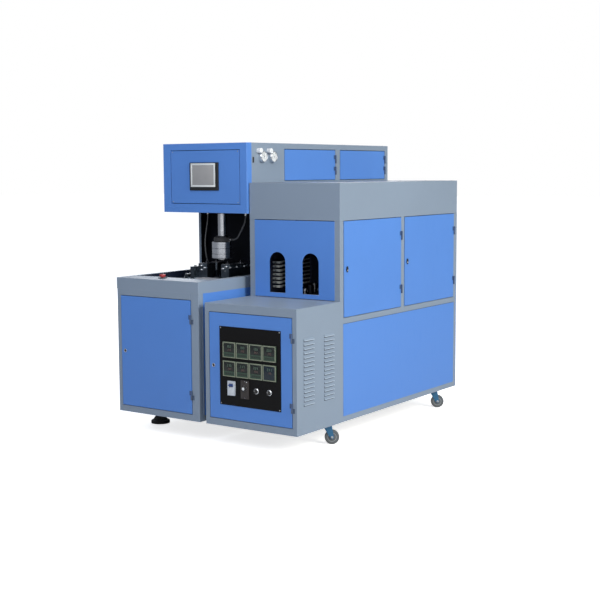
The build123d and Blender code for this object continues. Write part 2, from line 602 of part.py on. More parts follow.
upper_doors = []
for door_y in UPPER_Y:
    with BuildPart() as upper_door:
        side_pan(door_y, UPPER_DOOR_Z, HEAD_R, -1)
        for hinge_z in hinge_heights(UPPER_DOOR_Z):
            side_hinge_half(door_y[1], HEAD_R, hinge_z + HINGE_H + GAP, -1)
            bar((HEAD_R + HINGE_OFF, door_y[1] + REVEAL / 2, hinge_z), "Z", 2 * HINGE_H + 1,
                HINGE_PIN_R + FIT, Mode.SUBTRACT)
    upper_doors.append(upper_door)
keep(upper_doors[0], "upper_door_front")
keep(upper_doors[1], "upper_door_rear")

# Pressure gauges and regulator knobs on the head's right side
with BuildPart() as pressure_gauges:
    for gauge_y in GAUGE_Y:
        bar((HEAD_R, FRONT + gauge_y, GAUGE_Z), "X", GAUGE_T, GAUGE_R)
    fillet(pressure_gauges.edges().filter_by(GeomType.CIRCLE).group_by(Axis.X)[-1], EDGE_R * 2)
keep(pressure_gauges, "pressure_gauges")

regulator_knobs = []
for gauge_y in GAUGE_Y:
    with BuildPart() as regulator_knob:
        knob_at = (FRONT + gauge_y - REG_SHIFT, GAUGE_Z + REG_SHIFT)
        bar((HEAD_R + GAP, *knob_at), "X", REG_T, REG_R)
        fillet(regulator_knob.edges().filter_by(GeomType.CIRCLE).group_by(Axis.X)[-1], EDGE_R * 2)
        bar((HEAD_R - DOOR_T, *knob_at), "X", DOOR_T + 1, REG_R / 3)
    regulator_knobs.append(regulator_knob)
keep(regulator_knobs[0], "regulator_knob_front")
keep(regulator_knobs[1], "regulator_knob_rear")


# Hoses: straight runs joined by arcs, as large as the runs allow
def arc_radii(points):
    """A radius for each corner: 0.45 of its shorter run over the tangent of half its turn."""
    vectors = [Vector(*point) for point in points]
    radii = []
    for before, corner, after in zip(vectors, vectors[1:], vectors[2:]):
        run_in = corner - before
        run_out = after - corner
        turn = run_in.get_angle(run_out)
        radii.append(0.45 * min(run_in.length, run_out.length) / tan(radians(turn / 2)))
    return radii


def hose(points, name):
    """A round hose along a hand-chosen route; prints its radii and volume."""
    radii = arc_radii(points)
    with BuildPart() as piece:
        with BuildLine() as route:
            FilletPolyline(*points, radius=radii)
        start = route.wires()[0]
        with BuildSketch(Plane(origin=start @ 0, z_dir=start % 0)) as section:
            Circle(HOSE_R)
        sweep(path=route.wires()[0])
    ideal = pi * HOSE_R**2 * start.length
    print(name, [round(r) for r in radii], round(start.length), round(piece.part.volume / ideal, 4))
    return piece


collar_tip = AXIS[0] + COLLAR_R + FITTING_L
hose_right_points = [
    (AXIS[0] + 196, AXIS[1] + 3, HEAD_Z0),
    (AXIS[0] + 196, AXIS[1] + 3, HEAD_Z0 - 45),
    (AXIS[0] + 176, AXIS[1] + 4, HEAD_Z0 - 92),
    (AXIS[0] + 146, AXIS[1] + 2, HEAD_Z0 - 143),
    (AXIS[0] + 122, AXIS[1], HOSE_Z),
    (collar_tip, AXIS[1], HOSE_Z),
]
hose_left_points = [
    (HEAD_X + 64, TOWER_Y + 24, HEAD_Z0),
    (HEAD_X + 64, TOWER_Y + 24, HEAD_Z0 - 60),
    (HEAD_X + 54, TOWER_Y + 14, HEAD_Z0 - 140),
    (HEAD_X + 48, TOWER_Y + 6, HEAD_Z0 - 225),
    (HEAD_X + 56, TOWER_Y + 8, HEAD_Z0 - 310),
    (HEAD_X + 68, TOWER_Y + 20, HEAD_Z0 - 395),
    (HEAD_X + 68, TOWER_Y + 20, TRAY_Z),
]
hose_right = hose(hose_right_points, "hose_right")
keep(hose_right, "hose_right")
hose_left = hose(hose_left_points, "hose_left")
keep(hose_left, "hose_left")

# Oven: tube frame with its castor plates
oven_x = (OVEN_X + SHEET, RIGHT - SHEET)
oven_y = (OVEN_Y + SHEET, OVEN_REAR - SHEET)
between_y = (oven_y[0] + TUBE, oven_y[1] - TUBE)
between_x = (oven_x[0] + TUBE, oven_x[1] - TUBE)
CASTOR_PLATE = 70
CASTOR_PLATE_T = 8
KINGPIN_R = 8
castor_at = [(RIGHT - CASTOR_X, FRONT + castor_y) for castor_y in CASTOR_Y]
with BuildPart() as oven_frame:
    sides = ((oven_x[0], between_x[0]), (between_x[1], oven_x[1]))
    ends = ((oven_y[0], between_y[0]), (between_y[1], oven_y[1]))
    top_z = (HEADER_Z, HEADER_Z + TUBE)
    base_z = (BASE_Z, BASE_Z + TUBE)
    bed_rail_z = (BED_Z - BED_T - TUBE, BED_Z - BED_T)
    mid_y = (between_y[0] + DOOR_SPAN, between_y[0] + DOOR_SPAN + TUBE)
    posts = [(side, end, (BASE_Z, HEADER_Z + TUBE)) for side in sides for end in ends]
    posts += [(side, mid_y, (MID_RAIL_Z + TUBE, HEADER_Z)) for side in sides]
    rails = [(side, between_y, z) for side in sides for z in (base_z, top_z)]
    rails += [(side, between_y, (MID_RAIL_Z, MID_RAIL_Z + TUBE)) for side in sides]
    rails += [(between_x, end, z) for end in ends for z in (base_z, bed_rail_z, top_z)]
    rails += [(side, (FRONT + SHEET + TUBE, oven_y[0]), base_z) for side in sides]
    rails.append((oven_x, (FRONT + SHEET, FRONT + SHEET + TUBE), base_z))
    for at in castor_at:
        rails.append((between_x, (at[1] - TUBE / 2, at[1] + TUBE / 2), base_z))
    tube_frame(posts, rails)
    with Locations(*[(*at, BASE_Z - CASTOR_PLATE_T / 2) for at in castor_at]):
        Box(CASTOR_PLATE, CASTOR_PLATE, CASTOR_PLATE_T)
    with Locations(*[(*at, BASE_Z - CASTOR_PLATE_T / 2) for at in castor_at]):
        Cylinder(KINGPIN_R + FIT, CASTOR_PLATE_T, mode=Mode.SUBTRACT)
keep(oven_frame, "oven_frame")

# Spacers that join the oven to the head above and to the clamp unit below
COUPLING_R = 16
COUPLING_Z = (BASE_Z + TUBE / 2, MID_RAIL_Z + TUBE / 2, (HEAD_Z0 + OVEN_Z) / 2)
COUPLING_Y = (OVEN_Y + CABINET_D / 2, OVEN_REAR - CABINET_D / 2)
with BuildPart() as unit_couplings:
    for coupling_y in COUPLING_Y:
        for coupling_z in COUPLING_Z:
            start_x = HEAD_R if coupling_z > HEAD_Z0 else LEFT + CLAMP_W
            bar((start_x, coupling_y, coupling_z), "X", OVEN_X - start_x, COUPLING_R)
keep(unit_couplings, "unit_couplings")

with BuildPart() as oven_header:
    slab((OVEN_X, RIGHT), (OVEN_Y, OVEN_REAR), (HEADER_Z, OVEN_Z))
    top_edges = oven_header.faces().sort_by(Axis.Z)[-1].edges()
    fillet(top_edges + oven_header.edges().filter_by(Axis.Z), EDGE_R)
    inside_x = (OVEN_X + SHEET, RIGHT - SHEET)
    inside_y = (OVEN_Y + SHEET, OVEN_REAR - SHEET)
    slab(inside_x, inside_y, (HEADER_Z, OVEN_Z - SHEET), mode=Mode.SUBTRACT)
keep(oven_header, "oven_header")

arch_x = (OVEN_MID - ARCH_PITCH / 2, OVEN_MID + ARCH_PITCH / 2)
with BuildPart() as oven_front_panel:
    panel_x = (OVEN_X + FRONT_PANEL_X[0], OVEN_X + FRONT_PANEL_X[1])
    slab(panel_x, (OVEN_Y, OVEN_Y + SHEET), (CABINET_Z + REVEAL, HEADER_Z - REVEAL))
    with BuildSketch(Plane.XZ.offset(-OVEN_Y)) as arches:
        spring = ARCH_SILL + ARCH_H - ARCH_W / 2
        with Locations(*[(x, (ARCH_SILL + spring) / 2) for x in arch_x]):
            Rectangle(ARCH_W, spring - ARCH_SILL)
        with Locations(*[(x, spring) for x in arch_x]):
            Circle(ARCH_W / 2)
    extrude(amount=-SHEET, mode=Mode.SUBTRACT)
keep(oven_front_panel, "oven_front_panel")

with BuildPart() as oven_panels:
    slab((OVEN_X, OVEN_X + SHEET), (OVEN_Y + SHEET, OVEN_REAR - SHEET), (BASE_Z, HEADER_Z))
    slab((OVEN_X, RIGHT), (OVEN_REAR - SHEET, OVEN_REAR), (BASE_Z, HEADER_Z))
    lower_y = (between_y[0] - REVEAL, between_y[1] + REVEAL)
    lower_z = (BASE_Z + TUBE - REVEAL, MID_RAIL_Z + REVEAL)
    slab((RIGHT - SHEET, RIGHT), lower_y, lower_z)
keep(oven_panels, "oven_panels")

# Oven inside: bed with bearings, chain with spindles, sprockets, motor, lamps
SHAFT_R = 15
BEARING_R = 35
BEARING_H = 36
sprocket_at = (OVEN_MID, FRONT + SPROCKET_Y)
rear_at = (OVEN_MID, sprocket_at[1] + CHAIN_RUN)
with BuildPart() as oven_bed:
    bed_y = (oven_y[0] + TUBE / 2, oven_y[1] - TUBE / 2)
    slab(between_x, bed_y, (BED_Z - BED_T, BED_Z))
    bar((*sprocket_at, BED_Z - BED_T - BEARING_H), "Z", BEARING_H, BEARING_R)
    bar((*sprocket_at, BED_Z - BED_T - BEARING_H), "Z", BEARING_H + BED_T, SHAFT_R + FIT, Mode.SUBTRACT)
    bar((*rear_at, BED_Z - BED_T), "Z", BED_T, SHAFT_R + FIT, Mode.SUBTRACT)
keep(oven_bed, "oven_bed")

LINK_W = 18
ROLLER_R = 9.5
LINK_T = 3
ROLLER_H = 13
SPINDLE_STEP = 4
CHAIN_BASE = BED_Z + GAP
pitch_angle = 360 / TEETH
pins = []
for link in range(STRAIGHT_LINKS):
    pins.append((sprocket_at[0] + SPROCKET_R, sprocket_at[1] + link * CHAIN_PITCH))
for tooth in range(TEETH // 2):
    turn = radians(tooth * pitch_angle)
    pins.append((rear_at[0] + SPROCKET_R * cos(turn), rear_at[1] + SPROCKET_R * sin(turn)))
for link in range(STRAIGHT_LINKS):
    pins.append((sprocket_at[0] - SPROCKET_R, rear_at[1] - link * CHAIN_PITCH))
for tooth in range(TEETH // 2):
    turn = radians(180 + tooth * pitch_angle)
    pins.append((sprocket_at[0] + SPROCKET_R * cos(turn), sprocket_at[1] + SPROCKET_R * sin(turn)))
links = []
for start, end in zip(pins, pins[1:] + pins[:1]):
    angle = degrees(atan2(end[1] - start[1], end[0] - start[0]))
    links.append(Location(((start[0] + end[0]) / 2, (start[1] + end[1]) / 2), angle))
with BuildPart() as chain_loop:
    for plate_z in (CHAIN_BASE, CHAIN_BASE + LINK_T + ROLLER_H):
        with BuildSketch(Plane.XY.offset(plate_z)) as plates:
            with Locations(*links):
                SlotCenterToCenter(CHAIN_PITCH, LINK_W)
        extrude(amount=LINK_T)
    with BuildSketch(Plane.XY.offset(CHAIN_BASE + LINK_T)) as rollers:
        with Locations(*pins):
            Circle(ROLLER_R)
    extrude(amount=ROLLER_H)
    chain_top = CHAIN_BASE + 2 * LINK_T + ROLLER_H
    low = (Align.CENTER, Align.CENTER, Align.MIN)
    with Locations(*[(*pin, chain_top) for pin in pins[::SPINDLE_STEP]]):
        Cylinder(ROLLER_R * 0.7, 3 * ROLLER_H, align=low)
    with Locations(*[(*pin, chain_top + 2 * ROLLER_H) for pin in pins[::SPINDLE_STEP]]):
        Cylinder(ROLLER_R * 1.4, ROLLER_H, align=low)
keep(chain_loop, "chain_loop")

SPROCKET_T = 10
TOOTH_H = 6
SHAFT_LOW = 80


def sprocket(at):
    """A toothed wheel on its shaft; its teeth end inside the rollers, so it turns in the still chain."""
    wheel_z = CHAIN_BASE + LINK_T + (ROLLER_H - SPROCKET_T) / 2
    bar((*at, wheel_z), "Z", SPROCKET_T, SPROCKET_R - ROLLER_R - GAP)
    with Locations((*at, wheel_z)):
        with PolarLocations(SPROCKET_R - TOOTH_H, TEETH):
            low = (Align.CENTER, Align.CENTER, Align.MIN)
            Cylinder(ROLLER_R, SPROCKET_T, align=low, mode=Mode.SUBTRACT)
    bar((*at, BED_Z - SHAFT_LOW), "Z", SHAFT_LOW + 2 * BEARING_R, SHAFT_R)


with BuildPart() as front_sprocket:
    sprocket(sprocket_at)
keep(front_sprocket, "front_sprocket")

with BuildPart() as rear_sprocket:
    sprocket(rear_at)
keep(rear_sprocket, "rear_sprocket")

GEARBOX = 120
MOTOR_R = 58
MOTOR_L = 200
with BuildPart() as drive_motor:
    box_x = (rear_at[0] - GEARBOX / 2, rear_at[0] + GEARBOX / 2)
    box_y = (rear_at[1] - GEARBOX / 2, rear_at[1] + GEARBOX / 2)
    slab(box_x, box_y, (BED_Z - BED_T - GEARBOX, BED_Z - BED_T))
    fillet(drive_motor.edges().filter_by(Axis.Z), LINK_W / 2)
    bar((box_x[0] - MOTOR_L, rear_at[1], BED_Z - BED_T - GEARBOX / 2), "X", MOTOR_L, MOTOR_R)
    chamfer(drive_motor.edges().filter_by(GeomType.CIRCLE).group_by(Axis.X)[0], EDGE_R * 3)
    bar((*rear_at, BED_Z - SHAFT_LOW - GAP), "Z", SHAFT_LOW, SHAFT_R + GAP, Mode.SUBTRACT)
keep(drive_motor, "drive_motor")

lamp_span = (FRONT + LAMP_Y[0], FRONT + LAMP_Y[1])
bank_off = (FRONT_PANEL_X[0] + FRONT_PANEL_X[1]) / 2 - LAMP_X
rack_top = LAMP_Z0 + LAMP_COUNT * LAMP_PITCH + LAMP_END[0]
SHIELD_Z = 965
SHIELD_STRIP = 32
with BuildPart() as lamp_racks:
    for side in (-1, 1):
        plate = OVEN_MID + side * (bank_off + LAMP_END[0] / 2)
        slab((plate, plate + side * SHEET), (lamp_span[0] - TUBE, lamp_span[1] + TUBE), (BED_Z, rack_top))
        foot = (plate + side * SHEET, plate - side * LAMP_END[0] / 4)
        slab(foot, (lamp_span[0] - TUBE, lamp_span[1] + TUBE), (BED_Z, BED_Z + SHEET))
    shield_x = (OVEN_MID - SHEET / 2, OVEN_MID + SHEET / 2)
    slab(shield_x, (oven_y[0] + TUBE / 2, oven_y[1] - TUBE / 2), (HEADER_Z - SHIELD_STRIP, HEADER_Z))
    slab(shield_x, (sprocket_at[1], rear_at[1]), (SHIELD_Z, HEADER_Z - SHIELD_STRIP))
keep(lamp_racks, "lamp_racks")

with BuildPart() as quartz_lamps:
    end_x, end_y, end_z = LAMP_END
    rows = [LAMP_Z0 + row * LAMP_PITCH for row in range(LAMP_COUNT)]
    banks = [OVEN_MID - bank_off, OVEN_MID + bank_off]
    with Locations(*[(x, y, z) for x in banks for y in lamp_span for z in rows]):
        Box(end_x, end_y, end_z)
    turn = (-90, 0, 0)
    spots = [Location((x, lamp_span[0], z), turn) for x in banks for z in rows]
    with Locations(*spots):
        Cylinder(LAMP_R, lamp_span[1] - lamp_span[0], align=(Align.CENTER, Align.CENTER, Align.MIN))
keep(quartz_lamps, "quartz_lamps")

# Oven side doors
LOCK_R = 9
LOCK_PROUD = 3
LOCK_IN = 32
oven_doors = []
for door_y in OVEN_DOOR_Y:
    with BuildPart() as oven_door:
        side_pan(door_y, OVEN_DOOR_Z, RIGHT, -1)
        lock_z = (OVEN_DOOR_Z[0] + OVEN_DOOR_Z[1]) / 2
        bar((RIGHT - DOOR_T, door_y[0] + LOCK_IN, lock_z), "X", DOOR_T + LOCK_PROUD, LOCK_R)
        for hinge_z in hinge_heights(OVEN_DOOR_Z):
            side_hinge_half(door_y[1], RIGHT, hinge_z + HINGE_H + GAP, -1)
            bar((RIGHT + HINGE_OFF, door_y[1] + REVEAL / 2, hinge_z), "Z", 2 * HINGE_H + 1,
                HINGE_PIN_R + FIT, Mode.SUBTRACT)
    oven_doors.append(oven_door)
keep(oven_doors[0], "oven_door_front")
keep(oven_doors[1], "oven_door_rear")


def front_door(x, z):
    """A front door pan with its lock at the left and its hinge halves at the right."""
    front_pan(x, z, FRONT)
    lock_turn = Location((x[0] + LOCK_IN, FRONT - LOCK_PROUD, (z[0] + z[1]) / 2), (-90, 0, 0))
    with Locations(lock_turn):
        Cylinder(LOCK_R, DOOR_T + LOCK_PROUD, align=(Align.CENTER, Align.CENTER, Align.MIN))
    for hinge_z in hinge_heights(z):
        front_hinge_half(x[1], FRONT, hinge_z + HINGE_H + GAP, -1)
        pin_at = (x[1] + REVEAL / 2, FRONT - HINGE_OFF, hinge_z)
        bar(pin_at, "Z", 2 * HINGE_H + 1, HINGE_PIN_R + FIT, Mode.SUBTRACT)


with BuildPart() as clamp_door:
    front_door(CLAMP_DOOR_X, CLAMP_DOOR_Z)
keep(clamp_door, "clamp_door")

# Control cabinet: folded sheet with a rebate round its door and two columns of louvres
with BuildPart() as control_cabinet:
    slab((OVEN_X, RIGHT), (FRONT, OVEN_Y), (BASE_Z, CABINET_Z))
    front_edges = control_cabinet.faces().sort_by(Axis.Y)[0].edges()
    top_edges = control_cabinet.faces().sort_by(Axis.Z)[-1].edges().filter_by(Axis.Y)
    fillet(front_edges + top_edges, EDGE_R)
    inside_y = (FRONT + SHEET, OVEN_Y)
    slab((OVEN_X + SHEET, RIGHT - SHEET), inside_y, (BASE_Z, CABINET_Z - SHEET), mode=Mode.SUBTRACT)
    rebate_x = (CTRL_X[0] - REVEAL, CTRL_X[1] + REVEAL)
    rebate_z = (CTRL_DOOR_Z[0] - REVEAL, CTRL_DOOR_Z[1] + REVEAL)
    lip_x = (rebate_x[0] - SHEET, rebate_x[1] + SHEET)
    lip_z = (rebate_z[0] - SHEET, rebate_z[1] + SHEET)
    slab(lip_x, (FRONT + SHEET, FRONT + DOOR_T), lip_z)
    slab(rebate_x, (FRONT, FRONT + DOOR_T), rebate_z, mode=Mode.SUBTRACT)
    louvre_spots = []
    for column_y in LOUVRE_Y:
        for row in range(LOUVRE_ROWS):
            low_z = LOUVRE_Z + (row - (LOUVRE_ROWS - 1) / 2) * LOUVRE_PITCH - LOUVRE_H / 2
            louvre_spots.append((RIGHT, FRONT + column_y, low_z))
    with BuildSketch(Plane.XZ) as hood:
        with BuildLine():
            Polyline((0, 0), (LOUVRE_OUT, 0), (0, LOUVRE_H), (0, 0))
        make_face()
        with BuildLine():
            inside = LOUVRE_OUT - SHEET
            Polyline((-SHEET, 0), (inside, 0), (0, inside * 2), (-SHEET, inside * 2), (-SHEET, 0))
        make_face(mode=Mode.SUBTRACT)
    for spot in louvre_spots:
        y_span = (spot[1] - LOUVRE_L / 2 + SHEET, spot[1] + LOUVRE_L / 2 - SHEET)
        slab((RIGHT - SHEET, RIGHT), y_span, (spot[2], spot[2] + LOUVRE_H / 2), mode=Mode.SUBTRACT)
    hoods = [Location(spot) for spot in louvre_spots]
    with Locations(*hoods):
        add(extrude(hood.sketch, amount=LOUVRE_L / 2, both=True, mode=Mode.PRIVATE))
keep(control_cabinet, "control_cabinet")

# Control door with the dark instrument plate and what is mounted on it
plate_x = (OVEN_X + INSTR_X[0], OVEN_X + INSTR_X[1])
PLATE_EDGE = 16
plate_face = FRONT - PLATE_T
with BuildPart() as control_door:
    front_door(CTRL_X, CTRL_DOOR_Z)
    hole_x = (plate_x[0] + PLATE_EDGE, plate_x[1] - PLATE_EDGE)
    hole_z = (INSTR_Z[0] + PLATE_EDGE, INSTR_Z[1] - PLATE_EDGE)
    slab(hole_x, (FRONT, FRONT + SHEET), hole_z, mode=Mode.SUBTRACT)
keep(control_door, "control_door")

meter_mid = (plate_x[0] + plate_x[1]) / 2
meter_spots = []
for row in range(2):
    for column in range(4):
        meter_x = meter_mid + (column - 1.5) * METER_PITCH_X
        meter_spots.append((meter_x, METER_ROW_Z - row * METER_PITCH_Z))
METER_LIP = 3
BREAKER_W = 54
BREAKER_H = 88
BREAKER_OUT = 12
TOGGLE_UP = 18
TOGGLE_W = 30
TOGGLE_R = 8
PIVOT_R = 2
SPEED_W = 62
SPEED_H = 112
SPEED_OUT = 5
KNOB_UP = 8
SPEED_KNOB_R = 13
SPINDLE_R = 4
RING_OUT = 5
breaker_at = (plate_x[0] + BREAKER_X, DEVICE_Z)
speed_at = (plate_x[0] + SPEED_X, DEVICE_Z)
speed_knob_at = (speed_at[0], DEVICE_Z + KNOB_UP)
select_at = [(plate_x[0] + x, DEVICE_Z) for x in SELECT_X]


def device(at, width, height, front_y, back_y, mode=Mode.ADD):
    """A rectangular block centred on an instrument's place on the plate."""
    slab((at[0] - width / 2, at[0] + width / 2), (front_y, back_y),
         (at[1] - height / 2, at[1] + height / 2), mode)


def spindle(at, front_y, back_y, radius, mode=Mode.ADD):
    """A round piece through the plate along Y."""
    with Locations(Location((at[0], front_y, at[1]), (-90, 0, 0))):
        Cylinder(radius, back_y - front_y, align=(Align.CENTER, Align.CENTER, Align.MIN), mode=mode)


with BuildPart() as control_plate:
    slab(plate_x, (plate_face, FRONT), INSTR_Z)
    hole = METER - 2 * METER_LIP
    for spot in meter_spots:
        device(spot, hole, hole, plate_face, FRONT, Mode.SUBTRACT)
    device(breaker_at, BREAKER_W - 2 * METER_LIP, BREAKER_H - 2 * METER_LIP, plate_face, FRONT, Mode.SUBTRACT)
    device(speed_at, SPEED_W - 2 * METER_LIP, SPEED_H - 2 * METER_LIP, plate_face, FRONT, Mode.SUBTRACT)
    for at in select_at:
        spindle(at, plate_face, FRONT, SPINDLE_R + FIT, Mode.SUBTRACT)
keep(control_plate, "control_plate")

with BuildPart() as temp_meters:
    for spot in meter_spots:
        device(spot, METER, METER, plate_face - METER_T, plate_face)
    fillet(temp_meters.edges().group_by(Axis.Y)[0], EDGE_R)
    for spot in meter_spots:
        body = METER - 2 * METER_LIP - 2 * GAP
        device(spot, body, body, plate_face, plate_face + METER_BODY)
keep(temp_meters, "temp_meters")

toggle_at = (breaker_at[0], breaker_at[1] + TOGGLE_UP)
toggle_y = plate_face - BREAKER_OUT + TOGGLE_R / 2
with BuildPart() as panel_devices:
    device(breaker_at, BREAKER_W, BREAKER_H, plate_face - BREAKER_OUT, plate_face)
    device(speed_at, SPEED_W, SPEED_H, plate_face - SPEED_OUT, plate_face)
    fillet(panel_devices.edges().filter_by(Axis.Y), EDGE_R * 2)
    device(breaker_at, BREAKER_W - 4 * METER_LIP, BREAKER_H - 4 * METER_LIP, plate_face, FRONT + METER_BODY)
    device(speed_at, SPEED_W - 4 * METER_LIP, SPEED_H - 4 * METER_LIP, plate_face, FRONT + METER_BODY)
    slot_y = (plate_face - BREAKER_OUT, toggle_y + TOGGLE_R + 1)
    device(toggle_at, TOGGLE_W + 1, 2 * TOGGLE_R + 4, *slot_y, Mode.SUBTRACT)
    pivot_len = TOGGLE_W + 4 * PIVOT_R
    bar((toggle_at[0] - pivot_len / 2, toggle_y, toggle_at[1]), "X", pivot_len, PIVOT_R + FIT, Mode.SUBTRACT)
    spindle(speed_knob_at, plate_face - SPEED_OUT, FRONT, SPINDLE_R + FIT, Mode.SUBTRACT)
    for at in select_at:
        spindle(at, plate_face - RING_OUT, plate_face, SELECT_R)
        spindle(at, plate_face - RING_OUT, plate_face, SELECT_R - RING_OUT + GAP, Mode.SUBTRACT)
keep(panel_devices, "panel_devices")

with BuildPart() as breaker_toggle:
    bar((toggle_at[0] - TOGGLE_W / 2, toggle_y, toggle_at[1]), "X", TOGGLE_W, TOGGLE_R)
    lever = (toggle_y - TOGGLE_R - PIVOT_R * 3, toggle_y)
    device(toggle_at, TOGGLE_W, 3 * PIVOT_R, *lever)
    fillet(breaker_toggle.edges().filter_by(Axis.X).group_by(Axis.Y)[0], PIVOT_R)
    bar((toggle_at[0] - pivot_len / 2, toggle_y, toggle_at[1]), "X", pivot_len, PIVOT_R)
keep(breaker_toggle, "breaker_toggle")

with BuildPart() as speed_knob:
    knob_face = plate_face - SPEED_OUT - GAP
    spindle(speed_knob_at, knob_face - 4 * SPINDLE_R, knob_face, SPEED_KNOB_R)
    fillet(speed_knob.edges().filter_by(GeomType.CIRCLE).group_by(Axis.Y)[0], EDGE_R * 2)
    spindle(speed_knob_at, knob_face, FRONT, SPINDLE_R)
keep(speed_knob, "speed_knob")

selectors = []
for at in select_at:
    with BuildPart() as selector:
        cap_r = SELECT_R - RING_OUT
        spindle(at, plate_face - RING_OUT - SPINDLE_R, plate_face - GAP, cap_r)
        device(at, SPINDLE_R * 2, 2 * cap_r - 1, FRONT - FRONT_PROUD, plate_face - RING_OUT)
        fillet(selector.edges().group_by(Axis.Y)[0], EDGE_R)
        spindle(at, plate_face - GAP, FRONT + DOOR_T, SPINDLE_R)
    selectors.append(selector)
keep(selectors[0], "selector_left")
keep(selectors[1], "selector_right")

# Emergency stop button on the deck's front rim
CAP_H = 16
estop_low = DECK_Z + 2 * ESTOP_TRAVEL
with BuildPart() as estop_button:
    bar((LEFT + ESTOP_X, FRONT + ESTOP_Y, estop_low), "Z", CAP_H, ESTOP_R)
    fillet(estop_button.edges().filter_by(GeomType.CIRCLE).group_by(Axis.Z)[-1], CAP_H / 2)
    bar((LEFT + ESTOP_X, FRONT + ESTOP_Y, RIM_Z + ESTOP_R), "Z", estop_low - RIM_Z - ESTOP_R, ESTOP_R / 2)
keep(estop_button, "estop_button")

# Component plate at the back of the control cabinet, with two rows of devices
DEVICE_COUNT = 5
DEVICE_H = 90
with BuildPart() as component_plate:
    back_x = (OVEN_X + SHEET + TUBE, RIGHT - SHEET - TUBE)
    back_y = (OVEN_Y - SHEET, OVEN_Y + SHEET)
    back_z = (BASE_Z + TUBE, CABINET_Z - SHEET - GAP)
    slab(back_x, back_y, back_z)
    device_pitch = (back_x[1] - back_x[0]) / (DEVICE_COUNT + 1)
    row_pitch = (back_z[1] - back_z[0]) / 3
    for column in range(DEVICE_COUNT):
        for row in range(2):
            at = (back_x[0] + device_pitch * (column + 1), OVEN_Y - TUBE, back_z[0] + row_pitch * (row + 1))
            with Locations(at):
                Box(device_pitch * 0.6, 2 * TUBE - 2 * SHEET, DEVICE_H)
keep(component_plate, "component_plate")

# Castors: fork on a kingpin, wheel on an axle
AXLE_R = 6
turn = radians(CASTOR_TURN)
forks = []
wheels = []
FORK_TOP = BASE_Z - CASTOR_PLATE_T - GAP
for at in castor_at:
    plane = Plane((*at, 0), x_dir=(cos(turn), sin(turn), 0), z_dir=(sin(turn), -cos(turn), 0))
    leg_in = WHEEL_T / 2 + 1
    with BuildPart() as fork:
        bar((*at, FORK_TOP - FORK_T), "Z", FORK_T, CASTOR_PLATE / 2 - FORK_T)
        bar((*at, FORK_TOP), "Z", CASTOR_PLATE_T + GAP, KINGPIN_R)
        for start in (leg_in, -leg_in - FORK_T):
            with BuildSketch(plane.offset(start)) as leg:
                with Locations((CASTOR_TRAIL, WHEEL_R)):
                    Circle(2 * AXLE_R)
                with Locations((0, FORK_TOP - FORK_T)):
                    Rectangle(CASTOR_PLATE * 0.75, 2 * FORK_T)
                make_hull()
            extrude(amount=FORK_T)
        with BuildSketch(plane.offset(-leg_in - FORK_T)) as axle:
            with Locations((CASTOR_TRAIL, WHEEL_R)):
                Circle(AXLE_R)
        extrude(amount=2 * (leg_in + FORK_T))
    forks.append(fork)
    with BuildPart() as wheel:
        with BuildSketch(plane.offset(-WHEEL_T / 2)) as disc:
            with Locations((CASTOR_TRAIL, WHEEL_R)):
                Circle(WHEEL_R)
        extrude(amount=WHEEL_T)
        fillet(wheel.edges().filter_by(GeomType.CIRCLE), WHEEL_T / 5)
        with BuildSketch(plane.offset(-WHEEL_T / 2)) as bore_disc:
            with Locations((CASTOR_TRAIL, WHEEL_R)):
                Circle(AXLE_R + FIT)
        extrude(amount=WHEEL_T, mode=Mode.SUBTRACT)
    wheels.append(wheel)
keep(forks[0], "castor_fork_front")
keep(forks[1], "castor_fork_rear")
keep(wheels[0], "castor_wheel_front")
keep(wheels[1], "castor_wheel_rear")

# Rear inlets: air inlet with a threaded bore, cable gland
INLET_Z = 400
INLET_DEEP = 20
GLAND_SIDE = 150
with BuildPart() as rear_inlets:
    inlet = (AXIS[0], REAR, INLET_Z)
    gland = (AXIS[0] + GLAND_SIDE, REAR, INLET_Z)
    bar(inlet, "Y", REAR_PROUD, INLET_R * 1.7)
    bar((inlet[0], REAR + REAR_PROUD - INLET_DEEP, INLET_Z), "Y", INLET_DEEP, INLET_R, Mode.SUBTRACT)
    bar(gland, "Y", REAR_PROUD * 0.75, GLAND_R * 1.8)
    bar(gland, "Y", REAR_PROUD * 0.75, GLAND_R, Mode.SUBTRACT)
keep(rear_inlets, "rear_inlets")

# Door hinges: the lower halves with their pins, fixed to the machine
with BuildPart() as door_hinges:
    hinge_spots = []
    for edge_x, z, seat in ((CLAMP_DOOR_X[1], CLAMP_DOOR_Z, FRONT + SHEET), (CTRL_X[1], CTRL_DOOR_Z, FRONT)):
        for hinge_z in hinge_heights(z):
            front_hinge_half(edge_x, FRONT, hinge_z, 1, seat)
            hinge_spots.append((edge_x + REVEAL / 2, FRONT - HINGE_OFF, hinge_z))
    for door_y in OVEN_DOOR_Y:
        for hinge_z in hinge_heights(OVEN_DOOR_Z):
            side_hinge_half(door_y[1], RIGHT, hinge_z, 1, RIGHT - SHEET)
            hinge_spots.append((RIGHT + HINGE_OFF, door_y[1] + REVEAL / 2, hinge_z))
    for door_y in UPPER_Y:
        for hinge_z in hinge_heights(UPPER_DOOR_Z):
            side_hinge_half(door_y[1], HEAD_R, hinge_z, 1)
            hinge_spots.append((HEAD_R + HINGE_OFF, door_y[1] + REVEAL / 2, hinge_z))
    for spot in hinge_spots:
        bar(spot, "Z", 2 * HINGE_H, HINGE_PIN_R)
keep(door_hinges, "door_hinges")
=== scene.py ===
"""Dressing of a semi-automatic stretch blow moulding machine with its preform oven.

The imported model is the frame. Every piece here rides on one of its bodies, and every
node of the model gets a finish. Lengths are in metres, +Z is up, and the operator
stands at -Y.
"""

import json
import logging
import math
from dataclasses import dataclass
from enum import Enum
from typing import Callable, Iterable, Optional, Sequence

import bmesh
import bpy
from mathutils import Matrix, Vector

